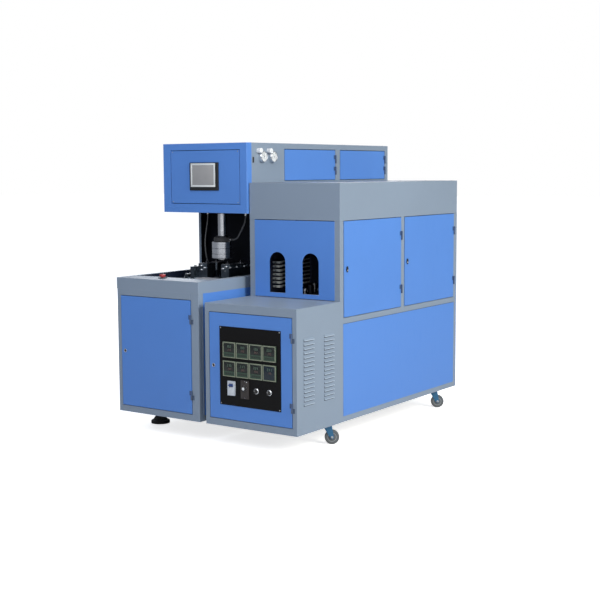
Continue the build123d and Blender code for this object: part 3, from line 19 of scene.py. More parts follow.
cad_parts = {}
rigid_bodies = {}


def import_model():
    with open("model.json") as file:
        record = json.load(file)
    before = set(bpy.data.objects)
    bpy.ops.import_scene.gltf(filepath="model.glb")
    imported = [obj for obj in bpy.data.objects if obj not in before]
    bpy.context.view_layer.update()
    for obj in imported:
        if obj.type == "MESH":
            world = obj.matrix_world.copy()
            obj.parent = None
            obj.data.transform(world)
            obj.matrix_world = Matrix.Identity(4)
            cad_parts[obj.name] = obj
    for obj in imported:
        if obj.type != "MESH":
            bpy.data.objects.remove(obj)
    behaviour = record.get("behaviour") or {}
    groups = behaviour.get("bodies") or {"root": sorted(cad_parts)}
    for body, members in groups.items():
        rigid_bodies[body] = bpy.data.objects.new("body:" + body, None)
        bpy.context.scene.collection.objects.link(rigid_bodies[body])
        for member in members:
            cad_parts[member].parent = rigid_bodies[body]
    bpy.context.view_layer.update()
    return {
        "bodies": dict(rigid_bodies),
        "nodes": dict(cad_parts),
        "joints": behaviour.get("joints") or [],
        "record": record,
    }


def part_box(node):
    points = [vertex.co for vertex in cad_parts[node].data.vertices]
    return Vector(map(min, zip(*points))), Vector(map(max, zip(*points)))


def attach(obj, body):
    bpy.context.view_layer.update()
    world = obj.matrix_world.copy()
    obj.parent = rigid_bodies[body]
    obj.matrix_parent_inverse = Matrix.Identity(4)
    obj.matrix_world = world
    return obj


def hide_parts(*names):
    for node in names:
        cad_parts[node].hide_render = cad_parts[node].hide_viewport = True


LOG = logging.getLogger("machine")
Point = tuple[float, float, float]
Colour = tuple[float, float, float]
Pair = tuple[float, float]
Spot = Sequence[float]
Socket = bpy.types.NodeSocket
SINK = 0.0002  # how far a thin piece goes into the face that it lies on
SMOOTH = 0.6  # the greatest angle, in radians, that is shaded smooth


class Way(Enum):
    """The direction that a round or long piece lies along; its value is its axis."""

    X = 0
    Y = 1
    Z = 2

    def turn(self) -> Matrix:
        """The rotation from +Z to this direction.

        Returns:
            A 4x4 matrix.
        """
        if self is Way.X:
            return Matrix.Rotation(math.pi / 2, 4, "Y")
        if self is Way.Y:
            return Matrix.Rotation(-math.pi / 2, 4, "X")
        return Matrix.Identity(4)

    def vector(self) -> Vector:
        """This direction as a unit vector."""
        return self.turn() @ Vector((0.0, 0.0, 1.0))


def rgb(red: int, green: int, blue: int) -> Colour:
    """A display colour, 0 to 255, as the linear colour that renders so."""
    parts = (value / 255 for value in (red, green, blue))
    return tuple(part / 12.92 if part < 0.04045 else ((part + 0.055) / 1.055) ** 2.4 for part in parts)


def placed(name: str, data: bpy.types.ID) -> bpy.types.Object:
    """A new object of the scene.

    Args:
        name: the object.
        data: its mesh, curve, light or camera data.

    Returns:
        The object, linked to the scene's collection.
    """
    made = bpy.data.objects.new(name, data)
    bpy.context.scene.collection.objects.link(made)
    return made


def circle(count: int, radius: float, start: float = 0.0) -> list[Pair]:
    """Points spaced evenly round a circle, from a start angle."""
    angles = [start + turn * math.tau / count for turn in range(count)]
    return [(radius * math.cos(angle), radius * math.sin(angle)) for angle in angles]


class Graph:
    """Writes the nodes of one shader tree."""

    def __init__(self, owner: bpy.types.ID) -> None:
        """Starts on a material's or world's emptied tree, or on a new group.

        Args:
            owner: the material, world or group that holds the tree.
        """
        if not isinstance(owner, bpy.types.NodeTree):
            owner.use_nodes = True
            owner = owner.node_tree
            owner.nodes.clear()
        self.tree = owner
        self.count = 0

    def node(self, kind: str, **values: object) -> bpy.types.Node:
        """Adds a node.

        Args:
            kind: the node's type name without its ShaderNode prefix.
            values: attributes of the node, such as its operation.

        Returns:
            The new node.
        """
        made = self.tree.nodes.new("ShaderNode" + kind)
        made.location = (220 * (self.count % 8), -260 * (self.count // 8))
        self.count += 1
        for key, value in values.items():
            setattr(made, key, value)
        return made

    def feed(self, socket: Socket, value: object) -> None:
        """Links a socket to another, or sets it to a plain value.

        Args:
            socket: an input.
            value: a node's output, or a plain value.
        """
        if isinstance(value, Socket):
            self.tree.links.new(value, socket)
        else:
            socket.default_value = value

    def fill(self, node: bpy.types.Node, values: dict) -> bpy.types.Node:
        """Feeds a node's inputs.

        Args:
            node: the node.
            values: an output or a plain value for each input's name or number.

        Returns:
            The same node.
        """
        for key, value in values.items():
            self.feed(node.inputs[key], value)
        return node

    def math(self, operation: str, first: object, second: object = 0.0, clamp: bool = False) -> Socket:
        """One Math node on two sockets or numbers."""
        made = self.node("Math", operation=operation, use_clamp=clamp)
        return self.fill(made, {0: first, 1: second}).outputs[0]

    def times(self, first: object, second: object) -> Socket:
        """The product of two sockets or numbers."""
        return self.math("MULTIPLY", first, second)

    def vector(self, operation: str, first: object, second: object) -> Socket:
        """One Vector Math node on two sockets or vectors."""
        return self.fill(self.node("VectorMath", operation=operation), {0: first, 1: second}).outputs[0]

    def split(self, value: object) -> Sequence[Socket]:
        """The X, Y and Z of a vector."""
        return self.fill(self.node("SeparateXYZ"), {0: value}).outputs[:3]

    def fit(
        self, value: object, low: float, high: float, to_low: float = 0.0, to_high: float = 1.0,
    ) -> Socket:
        """A number brought from one range to another, and held inside it."""
        made = self.node("MapRange", clamp=True)
        return self.fill(made, dict(enumerate((value, low, high, to_low, to_high)))).outputs[0]

    def mix(self, factor: object, first: object, second: object) -> Socket:
        """Two colours mixed by a factor.

        Args:
            factor: how much there is of the second, 0 to 1.
            first: a colour, or a node's output.
            second: another one.

        Returns:
            The mixed colour.
        """
        made = self.node("Mix", data_type="RGBA", blend_type="MIX")
        first, second = ((*c, 1.0) if isinstance(c, tuple) else c for c in (first, second))
        return self.fill(made, {0: factor, 6: first, 7: second}).outputs[2]

    def noise(self, place: object, scale: object, detail: float = 2.0, rough: float = 0.5) -> Socket:
        """A noise value from 0 to 1 over a place."""
        values = {"Vector": place, "Scale": scale, "Detail": detail, "Roughness": rough}
        return self.fill(self.node("TexNoise"), values).outputs[0]

    def stretched(self, place: object, scale: Point) -> Socket:
        """A place with its axes scaled, for a pattern with a direction."""
        return self.fill(self.node("Mapping"), {"Vector": place, "Scale": scale}).outputs[0]


@dataclass(frozen=True)
class Effect:
    """A shader node group that several finishes share.

    Attributes:
        name: the group's name.
        inputs: socket name, socket type and default, in order.
        outputs: names of its number outputs, in order.
        draw: writes the group's inside from its named inputs, and returns its outputs.
    """

    name: str
    inputs: tuple[tuple[str, str, object], ...]
    outputs: tuple[str, ...]
    draw: Callable[[Graph, dict], Sequence[Socket]]

    def group(self) -> bpy.types.NodeTree:
        """The group, built at its first use.

        Returns:
            The node group.
        """
        made = bpy.data.node_groups.get(self.name)
        if made is not None:
            return made
        made = bpy.data.node_groups.new(self.name, "ShaderNodeTree")
        for name, kind, default in self.inputs:
            socket = made.interface.new_socket(name=name, in_out="INPUT", socket_type="NodeSocket" + kind)
            if default is not None:
                socket.default_value = default
        for name in self.outputs:
            made.interface.new_socket(name=name, in_out="OUTPUT", socket_type="NodeSocketFloat")
        start = made.nodes.new("NodeGroupInput")
        end = made.nodes.new("NodeGroupOutput")
        graph = Graph(made)
        results = self.draw(graph, {socket.name: socket for socket in start.outputs if socket.name})
        for socket, result in zip(end.inputs, results):
            graph.feed(socket, result)
        return made

    def use(self, graph: Graph, **values: object) -> dict:
        """Places the group in a material.

        Args:
            graph: the material's graph.
            values: a socket or a value for each input, under its name.

        Returns:
            The output sockets by name.
        """
        made = graph.fill(graph.node("Group", node_tree=self.group()), values)
        return {socket.name: socket for socket in made.outputs}


def draw_tone(graph: Graph, given: dict) -> Sequence[Socket]:
    """Slow cloudy change and faint handling marks.

    Args:
        graph: the group's graph.
        given: the group's inputs by name.

    Returns:
        The change and the marks, 0 to 1 each.
    """
    slow = graph.noise(given["Place"], 1.7, 3.0, 0.55)
    marks = graph.noise(graph.stretched(given["Place"], (1.0, 1.0, 0.35)), 23.0, 6.0, 0.7)
    return (slow, graph.fit(marks, 0.55, 0.75))


def draw_peel(graph: Graph, given: dict) -> Sequence[Socket]:
    """The soft pebbling of powder paint or moulded plastic.

    Args:
        graph: the group's graph.
        given: the group's inputs by name.

    Returns:
        The height of the pebbling.
    """
    coarse = graph.noise(given["Place"], given["Scale"], 2.0, 0.4)
    fine = graph.noise(given["Place"], graph.times(given["Scale"], 3.1), 1.0, 0.5)
    return (graph.math("ADD", coarse, graph.times(fine, 0.35)),)


def draw_edges(graph: Graph, given: dict) -> Sequence[Socket]:
    """Chipped paint along the twelve edges of a box: where two coordinates are near its limits.

    Args:
        graph: the group's graph.
        given: the group's inputs by name.

    Returns:
        Where the paint is chipped, and how near an edge is, 0 to 1 each.
    """
    from_low = graph.vector("SUBTRACT", given["Place"], given["Low"])
    from_high = graph.vector("SUBTRACT", given["High"], given["Place"])
    near = graph.split(graph.vector("MINIMUM", from_low, from_high))
    x_y, y_z, x_z = (graph.math("MAXIMUM", near[a], near[b]) for a, b in ((0, 1), (1, 2), (0, 2)))
    second = graph.math("MINIMUM", graph.math("MINIMUM", x_y, y_z), x_z)
    chips = graph.noise(given["Place"], 85.0, 5.0, 0.75)
    reach = graph.times(graph.fit(chips, 0.48, 0.72), given["Width"])
    worn = graph.fit(graph.math("SUBTRACT", reach, second), 0.0, 0.0004)
    return (worn, graph.fit(second, 0.0, 0.006, 1.0, 0.0))


def draw_inside(graph: Graph, given: dict) -> Sequence[Socket]:
    """Tells what lies in a box.

    Args:
        graph: the group's graph.
        given: the group's inputs by name.

    Returns:
        1 inside the box and 0 outside it.
    """
    from_low = graph.split(graph.vector("SUBTRACT", given["Place"], given["Low"]))
    from_high = graph.split(graph.vector("SUBTRACT", given["High"], given["Place"]))
    inside: object = 1.0
    for distance in (*from_low, *from_high):
        inside = graph.times(inside, graph.math("GREATER_THAN", distance, 0.0))
    return (inside,)


def draw_dust(graph: Graph, given: dict) -> Sequence[Socket]:
    """Dust on faces that look up, thicker in clouds.

    Args:
        graph: the group's graph.
        given: the group's inputs by name.

    Returns:
        How much dust lies there, 0 to 1.
    """
    facing = graph.fit(graph.split(graph.node("NewGeometry").outputs["Normal"])[2], 0.55, 0.95)
    clouds = graph.fit(graph.noise(given["Place"], 9.0, 5.0, 0.65), 0.35, 0.75, 0.35, 1.0)
    return (graph.times(facing, clouds),)


def draw_brush(graph: Graph, given: dict) -> Sequence[Socket]:
    """The fine parallel scratches of ground or turned metal.

    Args:
        graph: the group's graph.
        given: the group's inputs by name.

    Returns:
        The scratches, and their mean with wider bands.
    """
    streaks = graph.noise(given["Place"], 1.0, 4.0, 0.65)
    wide = graph.noise(given["Place"], 0.17, 2.0, 0.5)
    return (streaks, graph.times(graph.math("ADD", streaks, wide), 0.5))


PLACE = ("Place", "Vector", None)
BOX = (PLACE, ("Low", "Vector", None), ("High", "Vector", None))
TONE = Effect("cloudy_tone", (PLACE,), ("Slow", "Marks"), draw_tone)
PEEL = Effect("paint_peel", (PLACE, ("Scale", "Float", 600.0)), ("Height",), draw_peel)
EDGES = Effect("edge_wear", (*BOX, ("Width", "Float", 0.002)), ("Worn", "Soft"), draw_edges)
INSIDE = Effect("inside_box", BOX, ("Mask",), draw_inside)
DUST = Effect("settled_dust", (PLACE,), ("Mask",), draw_dust)
BRUSH = Effect("brushed_grain", (PLACE,), ("Height", "Shade"), draw_brush)


@dataclass(frozen=True)
class Finish:
    """A surface finish, made into one material at its first use.

    Attributes:
        name: the material's name.
        slot: the record's material slot that it stands for; it is not used.
        colour: its main colour.
        rough: its mean roughness.
    """

    name: str
    slot: str
    colour: Colour
    rough: float = 0.5

    def tint(self, scale: float, lift: float = 0.0) -> Colour:
        """Its colour scaled and lifted, and held at 1."""
        return tuple(min(1.0, c * scale + lift) for c in self.colour)

    def material(self) -> bpy.types.Material:
        """The material of this finish.

        Returns:
            The material, made at its first use.
        """
        made = bpy.data.materials.get(self.name)
        if made is not None:
            return made
        made = bpy.data.materials.new(self.name)
        made.diffuse_color = (*self.colour, 1.0)
        graph = Graph(made)
        place = graph.node("TexCoord").outputs["Object"]
        shader = graph.node("BsdfPrincipled")
        self.paint(graph, place, shader)
        graph.fill(graph.node("OutputMaterial"), {"Surface": shader.outputs[0]})
        return made

    def paint(self, graph: Graph, place: Socket, shader: bpy.types.Node) -> None:
        """Feeds the shader of a plain finish; each kind of finish has its own."""
        raise NotImplementedError

    def bump(
        self, graph: Graph, shader: bpy.types.Node, height: Socket, strength: float, depth: float,
    ) -> None:
        """Puts a height on the shader's normal."""
        made = graph.fill(graph.node("Bump"), {"Strength": strength, "Distance": depth, "Height": height})
        graph.fill(shader, {"Normal": made.outputs[0]})


@dataclass(frozen=True)
class Zone:
    """A box of a node that is painted another colour."""

    low: Point
    high: Point
    colour: Colour


@dataclass(frozen=True)
class PowderPaint(Finish):
    """Powder paint on sheet metal, chipped along its box edges.

    Attributes:
        low: lowest corner of the box whose edges are worn.
        high: its highest corner.
        zones: parts of it in another colour.
        dust: how much dust lies on its upward faces.
        peel: pebbles per metre.
        shine: how glossy it is, where 1 is usual.
    """

    low: Optional[Point] = None
    high: Optional[Point] = None
    zones: tuple[Zone, ...] = ()
    dust: float = 0.10
    peel: float = 620.0
    shine: float = 1.0

    def paint(self, graph: Graph, place: Socket, shader: bpy.types.Node) -> None:
        """Colour with cloudy tone, zones, chips and dust; pebbled bump.

        Args:
            graph: the material's graph.
            place: the point in Object coordinates.
            shader: the Principled shader that it feeds.
        """
        tone = TONE.use(graph, Place=place)
        colour: object = graph.mix(tone["Slow"], self.tint(0.93), self.tint(1.07))
        for zone in self.zones:
            inside = INSIDE.use(graph, Place=place, Low=zone.low, High=zone.high)["Mask"]
            colour = graph.mix(inside, colour, zone.colour)
        rough: object = graph.fit(tone["Marks"], 0.0, 1.0, self.rough, self.rough + 0.12)
        if self.low is not None and self.high is not None:
            wear = EDGES.use(graph, Place=place, Low=self.low, High=self.high, Width=0.0016)
            colour = graph.mix(graph.times(wear["Soft"], 0.10), colour, self.tint(0.75, 0.18))
            colour = graph.mix(graph.times(wear["Worn"], 0.65), colour, (0.30, 0.31, 0.33))
        if self.dust > 0.0:
            lying = DUST.use(graph, Place=place)["Mask"]
            colour = graph.mix(graph.times(lying, self.dust), colour, (0.55, 0.54, 0.51))
            rough = graph.math("ADD", rough, graph.times(lying, self.dust * 0.8), clamp=True)
        graph.fill(shader, {
            "Base Color": colour, "Roughness": rough, "Specular IOR Level": 0.42 * self.shine,
            "Coat Weight": 0.12 * self.shine, "Coat Roughness": 0.30,
        })
        self.bump(graph, shader, PEEL.use(graph, Place=place, Scale=self.peel)["Height"], 0.22, 0.0004)


@dataclass(frozen=True)
class Metal(Finish):
    """Bare metal with a brushed, turned or cast grain.

    Attributes:
        grain: streaks per metre along X, Y and Z.
        depth: bump height of the grain.
        stain: how dark its oily patches are.
    """

    grain: Point = (900.0, 900.0, 60.0)
    depth: float = 0.00015
    stain: float = 0.35

    def paint(self, graph: Graph, place: Socket, shader: bpy.types.Node) -> None:
        """Metal colour with streaks and patches.

        Args:
            graph: the material's graph.
            place: the point in Object coordinates.
            shader: the Principled shader that it feeds.
        """
        streak = BRUSH.use(graph, Place=graph.stretched(place, self.grain))
        tone = TONE.use(graph, Place=place)
        shade = graph.fit(streak["Shade"], 0.3, 0.7)
        colour = graph.mix(shade, self.tint(1.0 - self.stain), self.tint(1.12))
        colour = graph.mix(graph.times(tone["Marks"], self.stain), colour, self.tint(0.55))
        low, high = max(0.04, self.rough - 0.08), min(1.0, self.rough + 0.10)
        rough = graph.fit(streak["Shade"], 0.25, 0.75, low, high)
        graph.fill(shader, {"Base Color": colour, "Roughness": rough, "Metallic": 1.0})
        self.bump(graph, shader, streak["Height"], 0.35, self.depth)


@dataclass(frozen=True)
class Moulded(Finish):
    """Moulded plastic or rubber.

    Attributes:
        scale: bumps per metre of its texture.
        depth: bump height.
        gloss: weight of its glossy coat.
        dust: how much dust lies on its upward faces.
    """

    scale: float = 900.0
    depth: float = 0.0002
    gloss: float = 0.0
    dust: float = 0.06

    def paint(self, graph: Graph, place: Socket, shader: bpy.types.Node) -> None:
        """Plastic colour with slow tone, rubbed marks and dust.

        Args:
            graph: the material's graph.
            place: the point in Object coordinates.
            shader: the Principled shader that it feeds.
        """
        tone = TONE.use(graph, Place=place)
        colour = graph.mix(tone["Slow"], self.tint(0.88), self.tint(1.10, 0.004))
        lying = DUST.use(graph, Place=place)["Mask"]
        colour = graph.mix(graph.times(lying, self.dust), colour, (0.50, 0.49, 0.46))
        rough = graph.fit(tone["Marks"], 0.0, 1.0, self.rough, min(1.0, self.rough + 0.14))
        graph.fill(shader, {
            "Base Color": colour, "Roughness": rough, "Coat Weight": self.gloss, "Coat Roughness": 0.12,
        })
        self.bump(graph, shader, PEEL.use(graph, Place=place, Scale=self.scale)["Height"], 0.30, self.depth)


@dataclass(frozen=True)
class Clear(Finish):
    """Glass or clear plastic.

    Attributes:
        clearness: how much light goes through.
        alpha: how solid it looks.
    """

    clearness: float = 0.6
    alpha: float = 0.45

    def paint(self, graph: Graph, place: Socket, shader: bpy.types.Node) -> None:
        """A clear tint with faint smears in its roughness.

        Args:
            graph: the material's graph.
            place: the point in Object coordinates.
            shader: the Principled shader that it feeds.
        """
        tone = TONE.use(graph, Place=place)
        graph.fill(shader, {
            "Base Color": graph.mix(tone["Slow"], self.tint(0.95), self.colour),
            "Roughness": graph.fit(tone["Marks"], 0.0, 1.0, self.rough, self.rough + 0.1),
            "Transmission Weight": self.clearness, "Alpha": self.alpha, "IOR": 1.46,
        })


@dataclass(frozen=True)
class Lit(Finish):
    """A display or digit that gives a little light of its own.

    Attributes:
        power: strength of the light.
    """

    power: float = 0.4

    def paint(self, graph: Graph, place: Socket, shader: bpy.types.Node) -> None:
        """Its colour, uneven as a back light is, both lit and reflecting.

        Args:
            graph: the material's graph.
            place: the point in Object coordinates.
            shader: the Principled shader that it feeds.
        """
        slow = TONE.use(graph, Place=graph.stretched(place, (8.0, 8.0, 8.0)))["Slow"]
        colour = graph.mix(slow, self.tint(0.85), self.colour)
        graph.fill(shader, {
            "Base Color": colour, "Emission Color": colour, "Emission Strength": self.power,
            "Roughness": self.rough,
        })


class Shape:
    """One piece's mesh in the making, in the model's frame."""

    def __init__(self) -> None:
        """Starts empty."""
        self.bm = bmesh.new()

    def soften(
        self, verts: Iterable[bmesh.types.BMVert], width: float, segments: int = 2, sharp: float = 0.5,
    ) -> None:
        """Bevels the sharp edges of a form just added.

        Args:
            verts: the form's vertices.
            width: width of the bevel.
            segments: faces across it.
            sharp: the least angle, in radians, of an edge that is bevelled.
        """
        edges = {edge for vert in verts for edge in vert.link_edges}
        hard = [edge for edge in edges if len(edge.link_faces) == 2 and edge.calc_face_angle(0.0) > sharp]
        if hard and width > 0.0:
            bmesh.ops.bevel(
                self.bm, geom=hard, offset=width, offset_type="OFFSET", segments=segments,
                profile=0.5, affect="EDGES", clamp_overlap=True, material=-1,
            )

    def block(
        self, low: Spot, high: Spot, soft: float = 0.0, at: Spot = (0.0, 0.0, 0.0), segments: int = 2,
    ) -> None:
        """A block between two corners, with its edges softened.

        Args:
            low: one corner, counted from a point.
            high: the opposite corner, counted from the same point.
            soft: width of the bevel on its edges.
            at: the point.
            segments: faces across the bevel.
        """
        low, high = ([a + b for a, b in zip(at, corner)] for corner in (low, high))
        size = [abs(b - a) for a, b in zip(low, high)]
        mid = [(a + b) / 2 for a, b in zip(low, high)]
        place = Matrix.Translation(mid) @ Matrix.Diagonal((*size, 1.0))
        self.soften(bmesh.ops.create_cube(self.bm, size=1.0, matrix=place)["verts"], soft, segments)

    def border(self, at: Point, low: Pair, high: Pair, wide: Pair, out: float, soft: float) -> None:
        """Four flat bars round an upright opening that faces -Y.

        Args:
            at: the point that the corners are counted from, on the face.
            low: the outline's lower left corner, as x and z.
            high: its upper right corner.
            wide: the width of the three upper bars and of the lowest one.
            out: how far the bars stand from the face.
            soft: width of the bevel on their edges.
        """
        (left, foot), (right, top), (bar, base) = low, high, wide
        for first, last in (
            ((left, top - bar), (right, top)), ((left, foot), (right, foot + base)),
            ((left, foot + base), (left + bar, top - bar)), ((right - bar, foot + base), (right, top - bar)),
        ):
            self.block((first[0], -out, first[1]), (last[0], SINK, last[1]), soft, at)

    def prism(
        self, sides: int, radius: float, height: float, place: Matrix, soft: float, sharp: float = 0.9,
    ) -> None:
        """A closed prism round the Z of its place, with its rims softened.

        Args:
            sides: how many it has.
            radius: how far its corners lie from its axis.
            height: its height; the sign makes no difference.
            place: where its middle lies.
            soft: width of the bevel on its rims.
            sharp: the least angle, in radians, of an edge that is bevelled.
        """
        made = bmesh.ops.create_cone(
            self.bm, cap_ends=True, cap_tris=False, segments=sides, radius1=radius, radius2=radius,
            depth=abs(height), matrix=place,
        )
        self.soften(made["verts"], soft, 2, sharp)

    def rod(
        self, start: Spot, way: Way, length: float, radius: float, soft: float = 0.0, sides: int = 32,
    ) -> None:
        """A round bar from a start point, along the way or, where its length is negative, against it."""
        mid = Vector(start) + way.vector() * (length / 2)
        self.prism(sides, radius, length, Matrix.Translation(mid) @ way.turn(), soft)

    def oval(self, centre: Spot, way: Way, across: Pair, height: float, soft: float) -> None:
        """An oval plate.

        Args:
            centre: the middle of its foot.
            way: the direction that it stands along.
            across: its two half sizes.
            height: how far it stands.
            soft: width of the bevel on its rims.
        """
        mid = Vector(centre) + way.vector() * (height / 2)
        place = Matrix.Translation(mid) @ way.turn() @ Matrix.Diagonal((*across, 1.0, 1.0))
        self.prism(40, 1.0, height, place, soft)

    def hexagon(self, start: Spot, way: Way, height: float, across: float, spin: float = 0.0) -> None:
        """A hexagon nut or bolt head with chamfered corners.

        Args:
            start: the middle of its foot.
            way: its axis.
            height: how far it stands along its axis or, where negative, against it.
            across: its size across two flats.
            spin: its turn on its axis, in radians.
        """
        radius = across / math.sqrt(3)
        mid = Vector(start) + way.vector() * (height / 2)
        place = Matrix.Translation(mid) @ way.turn() @ Matrix.Rotation(spin, 4, "Z")
        self.prism(6, radius, height, place, across * 0.05, 0.5)

    def turned(
        self, start: Spot, way: Way, profile: Sequence[Pair], sides: int = 48, out: float = 1.0,
    ) -> None:
        """A turned form: a profile of (radius, height) spun round an axis through a point.

        Args:
            start: the point that height 0 lies at.
            way: the axis.
            profile: the outline, from one end to the other; closed where its ends meet.
            sides: steps of the spin.
            out: what the heights are multiplied by; negative turns the form over.
        """
        made = bmesh.new()
        points = [made.verts.new((radius, 0.0, height * out)) for radius, height in profile]
        edges = [made.edges.new(pair) for pair in zip(points, points[1:])]
        bmesh.ops.spin(
            made, geom=points + edges, cent=(0, 0, 0), axis=(0, 0, 1), dvec=(0, 0, 0),
            angle=2 * math.pi, steps=sides, use_merge=True, use_duplicate=False,
        )
        bmesh.ops.remove_doubles(made, verts=made.verts[:], dist=1e-6)
        bmesh.ops.dissolve_degenerate(made, edges=made.edges[:], dist=1e-7)
        bmesh.ops.recalc_face_normals(made, faces=made.faces[:])
        place = Matrix.Translation(Vector(start)) @ way.turn()
        bmesh.ops.transform(made, matrix=place, verts=made.verts[:])
        bridge = bpy.data.meshes.new("bridge")
        made.to_mesh(bridge)
        made.free()
        self.bm.from_mesh(bridge)
        bpy.data.meshes.remove(bridge)

    def ring(
        self, centre: Spot, way: Way, radii: Pair, height: float, soft: float = 0.0006, sides: int = 48,
    ) -> None:
        """A flat ring with eased rims.

        Args:
            centre: the middle of its foot.
            way: the direction that it stands along.
            radii: its outer and its inner radius.
            height: how far it stands.
            soft: how much its rims are eased.
            sides: steps round it.
        """
        outer, inner = radii
        e = min(soft, height / 3, (outer - inner) / 3)
        outline = [
            (inner + e, 0.0), (outer - e, 0.0), (outer, e), (outer, height - e), (outer - e, height),
            (inner + e, height), (inner, height - e), (inner, e), (inner + e, 0.0),
        ]
        self.turned(centre, way, outline, sides)

    def torus(self, centre: Spot, way: Way, radius: float, thick: float, sides: Sequence[int]) -> None:
        """A round ring of round section, with its two counts of sides."""
        outline = [(radius + across, up) for across, up in circle(sides[1], thick)]
        self.turned(centre, way, [*outline, outline[0]], sides[0])

    def spoke(self, centre: Spot, way: Way, angle: float, reach: Pair, width: float, height: float) -> None:
        """A flat bar on a dial, pointing away from its centre.

        Args:
            centre: the dial's centre, on its face.
            way: the direction that the face looks along, or against.
            angle: where it points, in radians round that direction.
            reach: how far from the centre it starts and ends.
            width: its width.
            height: how far it stands from the face, along the way or against it.
        """
        near, far = reach
        place = Matrix.Translation(Vector(centre)) @ way.turn() @ Matrix.Rotation(angle, 4, "Z")
        place = place @ Matrix.Translation(((near + far) / 2, 0.0, height / 2))
        place = place @ Matrix.Diagonal((far - near, width, abs(height), 1.0))
        bmesh.ops.create_cube(self.bm, size=1.0, matrix=place)

    def cap_screw(self, at: Spot, radii: Point, heights: Point, sides: int) -> None:
        """A socket screw that stands up.

        Args:
            at: the centre of its foot.
            radii: those of its head, its rim and its socket.
            heights: those of its shoulder, its top and its socket's floor.
            sides: steps round it.
        """
        (head, rim, socket), (shoulder, top, floor) = radii, heights
        outline = [(head, 0.0), (head, shoulder), (rim, top), (socket, top), (socket, floor)]
        self.turned(at, Way.Z, [(0.0, 0.0), *outline, (0.0, floor)], sides)

    def cross_screw(self, at: Spot, way: Way, radius: float, out: float) -> None:
        """A pan-head screw with a recess.

        Args:
            at: its middle, on the face.
            way: its axis.
            radius: the head's radius.
            out: how far the head stands from the face, along its axis or, where negative, against it.
        """
        head = ((0.0, 0.0), (1.0, 0.0), (1.0, 0.35), (0.8, 0.8), (0.42, 1.0))
        recess = ((0.2, 1.0), (0.14, 0.45), (0.0, 0.4))
        self.turned(at, way, [(radius * r, h) for r, h in head + recess], 16, out)

    def piece(self, name: str, body: str, finish: Finish) -> None:
        """Makes the finished object, which rides on a body.

        Args:
            name: the piece's name.
            body: the body that it rides on.
            finish: its finish.
        """
        mesh = bpy.data.meshes.new(name)
        self.bm.to_mesh(mesh)
        self.bm.free()
        mesh.shade_smooth()
        mesh.set_sharp_from_angle(angle=SMOOTH)
        made = placed(name, mesh)
        mesh.materials.append(finish.material())
        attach(made, body)
        LOG.info("%s: %d faces on %s", name, len(mesh.polygons), body)


@dataclass(frozen=True)
class Palette:
    """The powder paints of this machine, worn along the edges of the node that they are on.

    Attributes:
        blue: the doors, the hood and the side panels.
        grey: the frames and the sheet bodies.
        inner_shade: painted shade, near black, on the underside of the head and inside the tower.
        recess_shade: the deck tray's recess, dark navy that is partly its own paint and partly painted shade.
        hinge: the doors' hinge barrels.
        hinge_proud: how far back from a door's foremost point its barrels reach.
    """

    blue: Colour = rgb(84, 135, 213)
    grey: Colour = rgb(132, 147, 166)
    # painted shade under the head and inside the tower
    inner_shade: Colour = rgb(9, 12, 22)
    # the recess's colour: partly its paint, partly painted shade
    recess_shade: Colour = rgb(21, 31, 52)
    hinge: Colour = rgb(62, 82, 118)
    hinge_proud: float = 0.0105

    def blue_on(self, name: str, low: Spot, high: Spot, *zones: Zone) -> PowderPaint:
        """Blue paint worn along one box's edges, with zones of another colour.

        Args:
            name: ends the material's name.
            low: the box's lowest corner.
            high: its highest corner.
            zones: boxes inside it that have a colour of their own.

        Returns:
            The finish.
        """
        return PowderPaint(
            "blue_paint_" + name, "blue_paint", self.blue, 0.40, tuple(low), tuple(high), zones,
        )

    def grey_on(self, name: str, low: Spot, high: Spot, *zones: Zone) -> PowderPaint:
        """Grey paint worn along one box's edges, with zones of another colour.

        Args:
            name: ends the material's name.
            low: the box's lowest corner.
            high: its highest corner.
            zones: boxes inside it that have a colour of their own.

        Returns:
            The finish.
        """
        return PowderPaint(
            "grey_paint_" + name, "grey_paint", self.grey, 0.42, tuple(low), tuple(high), zones,
        )

    def door_on(self, name: str, low: Spot, high: Spot, way: Way, out: float) -> PowderPaint:
        """Blue paint of a door whose hinge barrels are darker.

        Args:
            name: the door.
            low: its lowest corner.
            high: its highest corner.
            way: the direction that it faces along.
            out: 1 if it faces that way, -1 if it faces against it.

        Returns:
            The finish.
        """
        first, last = list(low), list(high)
        if out > 0:
            first[way.value] = high[way.value] - self.hinge_proud
        else:
            last[way.value] = low[way.value] + self.hinge_proud
        return self.blue_on(name, low, high, Zone(tuple(first), tuple(last), self.hinge))


PALETTE = Palette()
DARK_PAINT = PowderPaint("dark_paint", "dark_paint", rgb(22, 24, 33), 0.45, dust=0.08)
PLATE_PAINT = PowderPaint(
    "instrument_plate", "dark_paint", rgb(12, 11, 12), 0.42, dust=0.02, peel=1400.0, shine=0.35,
)
# painted highlight: pale strips along the louvres' lips
LOUVRE_HIGHLIGHT = PowderPaint("grey_paint_lips", "grey_paint", rgb(188, 204, 222), 0.42)
# painted shadow: the dark line over the side panel's rail and under each louvre's lip
SHADE = PowderPaint("grey_paint_slots", "grey_paint", rgb(62, 71, 84), 0.60)
FORK = PowderPaint("castor_paint", "castor_blue", rgb(52, 110, 152), 0.28, dust=0.08)
ZINC = Metal("zinc_plate", "zinc", rgb(176, 180, 184), 0.42, (260.0, 260.0, 260.0), 0.0001, 0.25)
STEEL = Metal("ground_steel", "steel", rgb(190, 192, 195), 0.32, (70.0, 70.0, 1400.0))
TURNED = Metal("turned_steel", "bright", rgb(222, 224, 228), 0.17, (12.0, 12.0, 2600.0), 0.00006, 0.12)
TUBE = Metal("blow_tube_steel", "steel", rgb(206, 208, 212), 0.20, (40.0, 40.0, 900.0), 0.00004, 0.12)
CHROME = Metal("chrome", "bright", rgb(226, 228, 231), 0.08, (300.0, 300.0, 300.0), 0.00001, 0.06)
ROD = Metal("chrome_rod", "bright", rgb(214, 216, 220), 0.12, (30.0, 700.0, 700.0), 0.00002, 0.08)
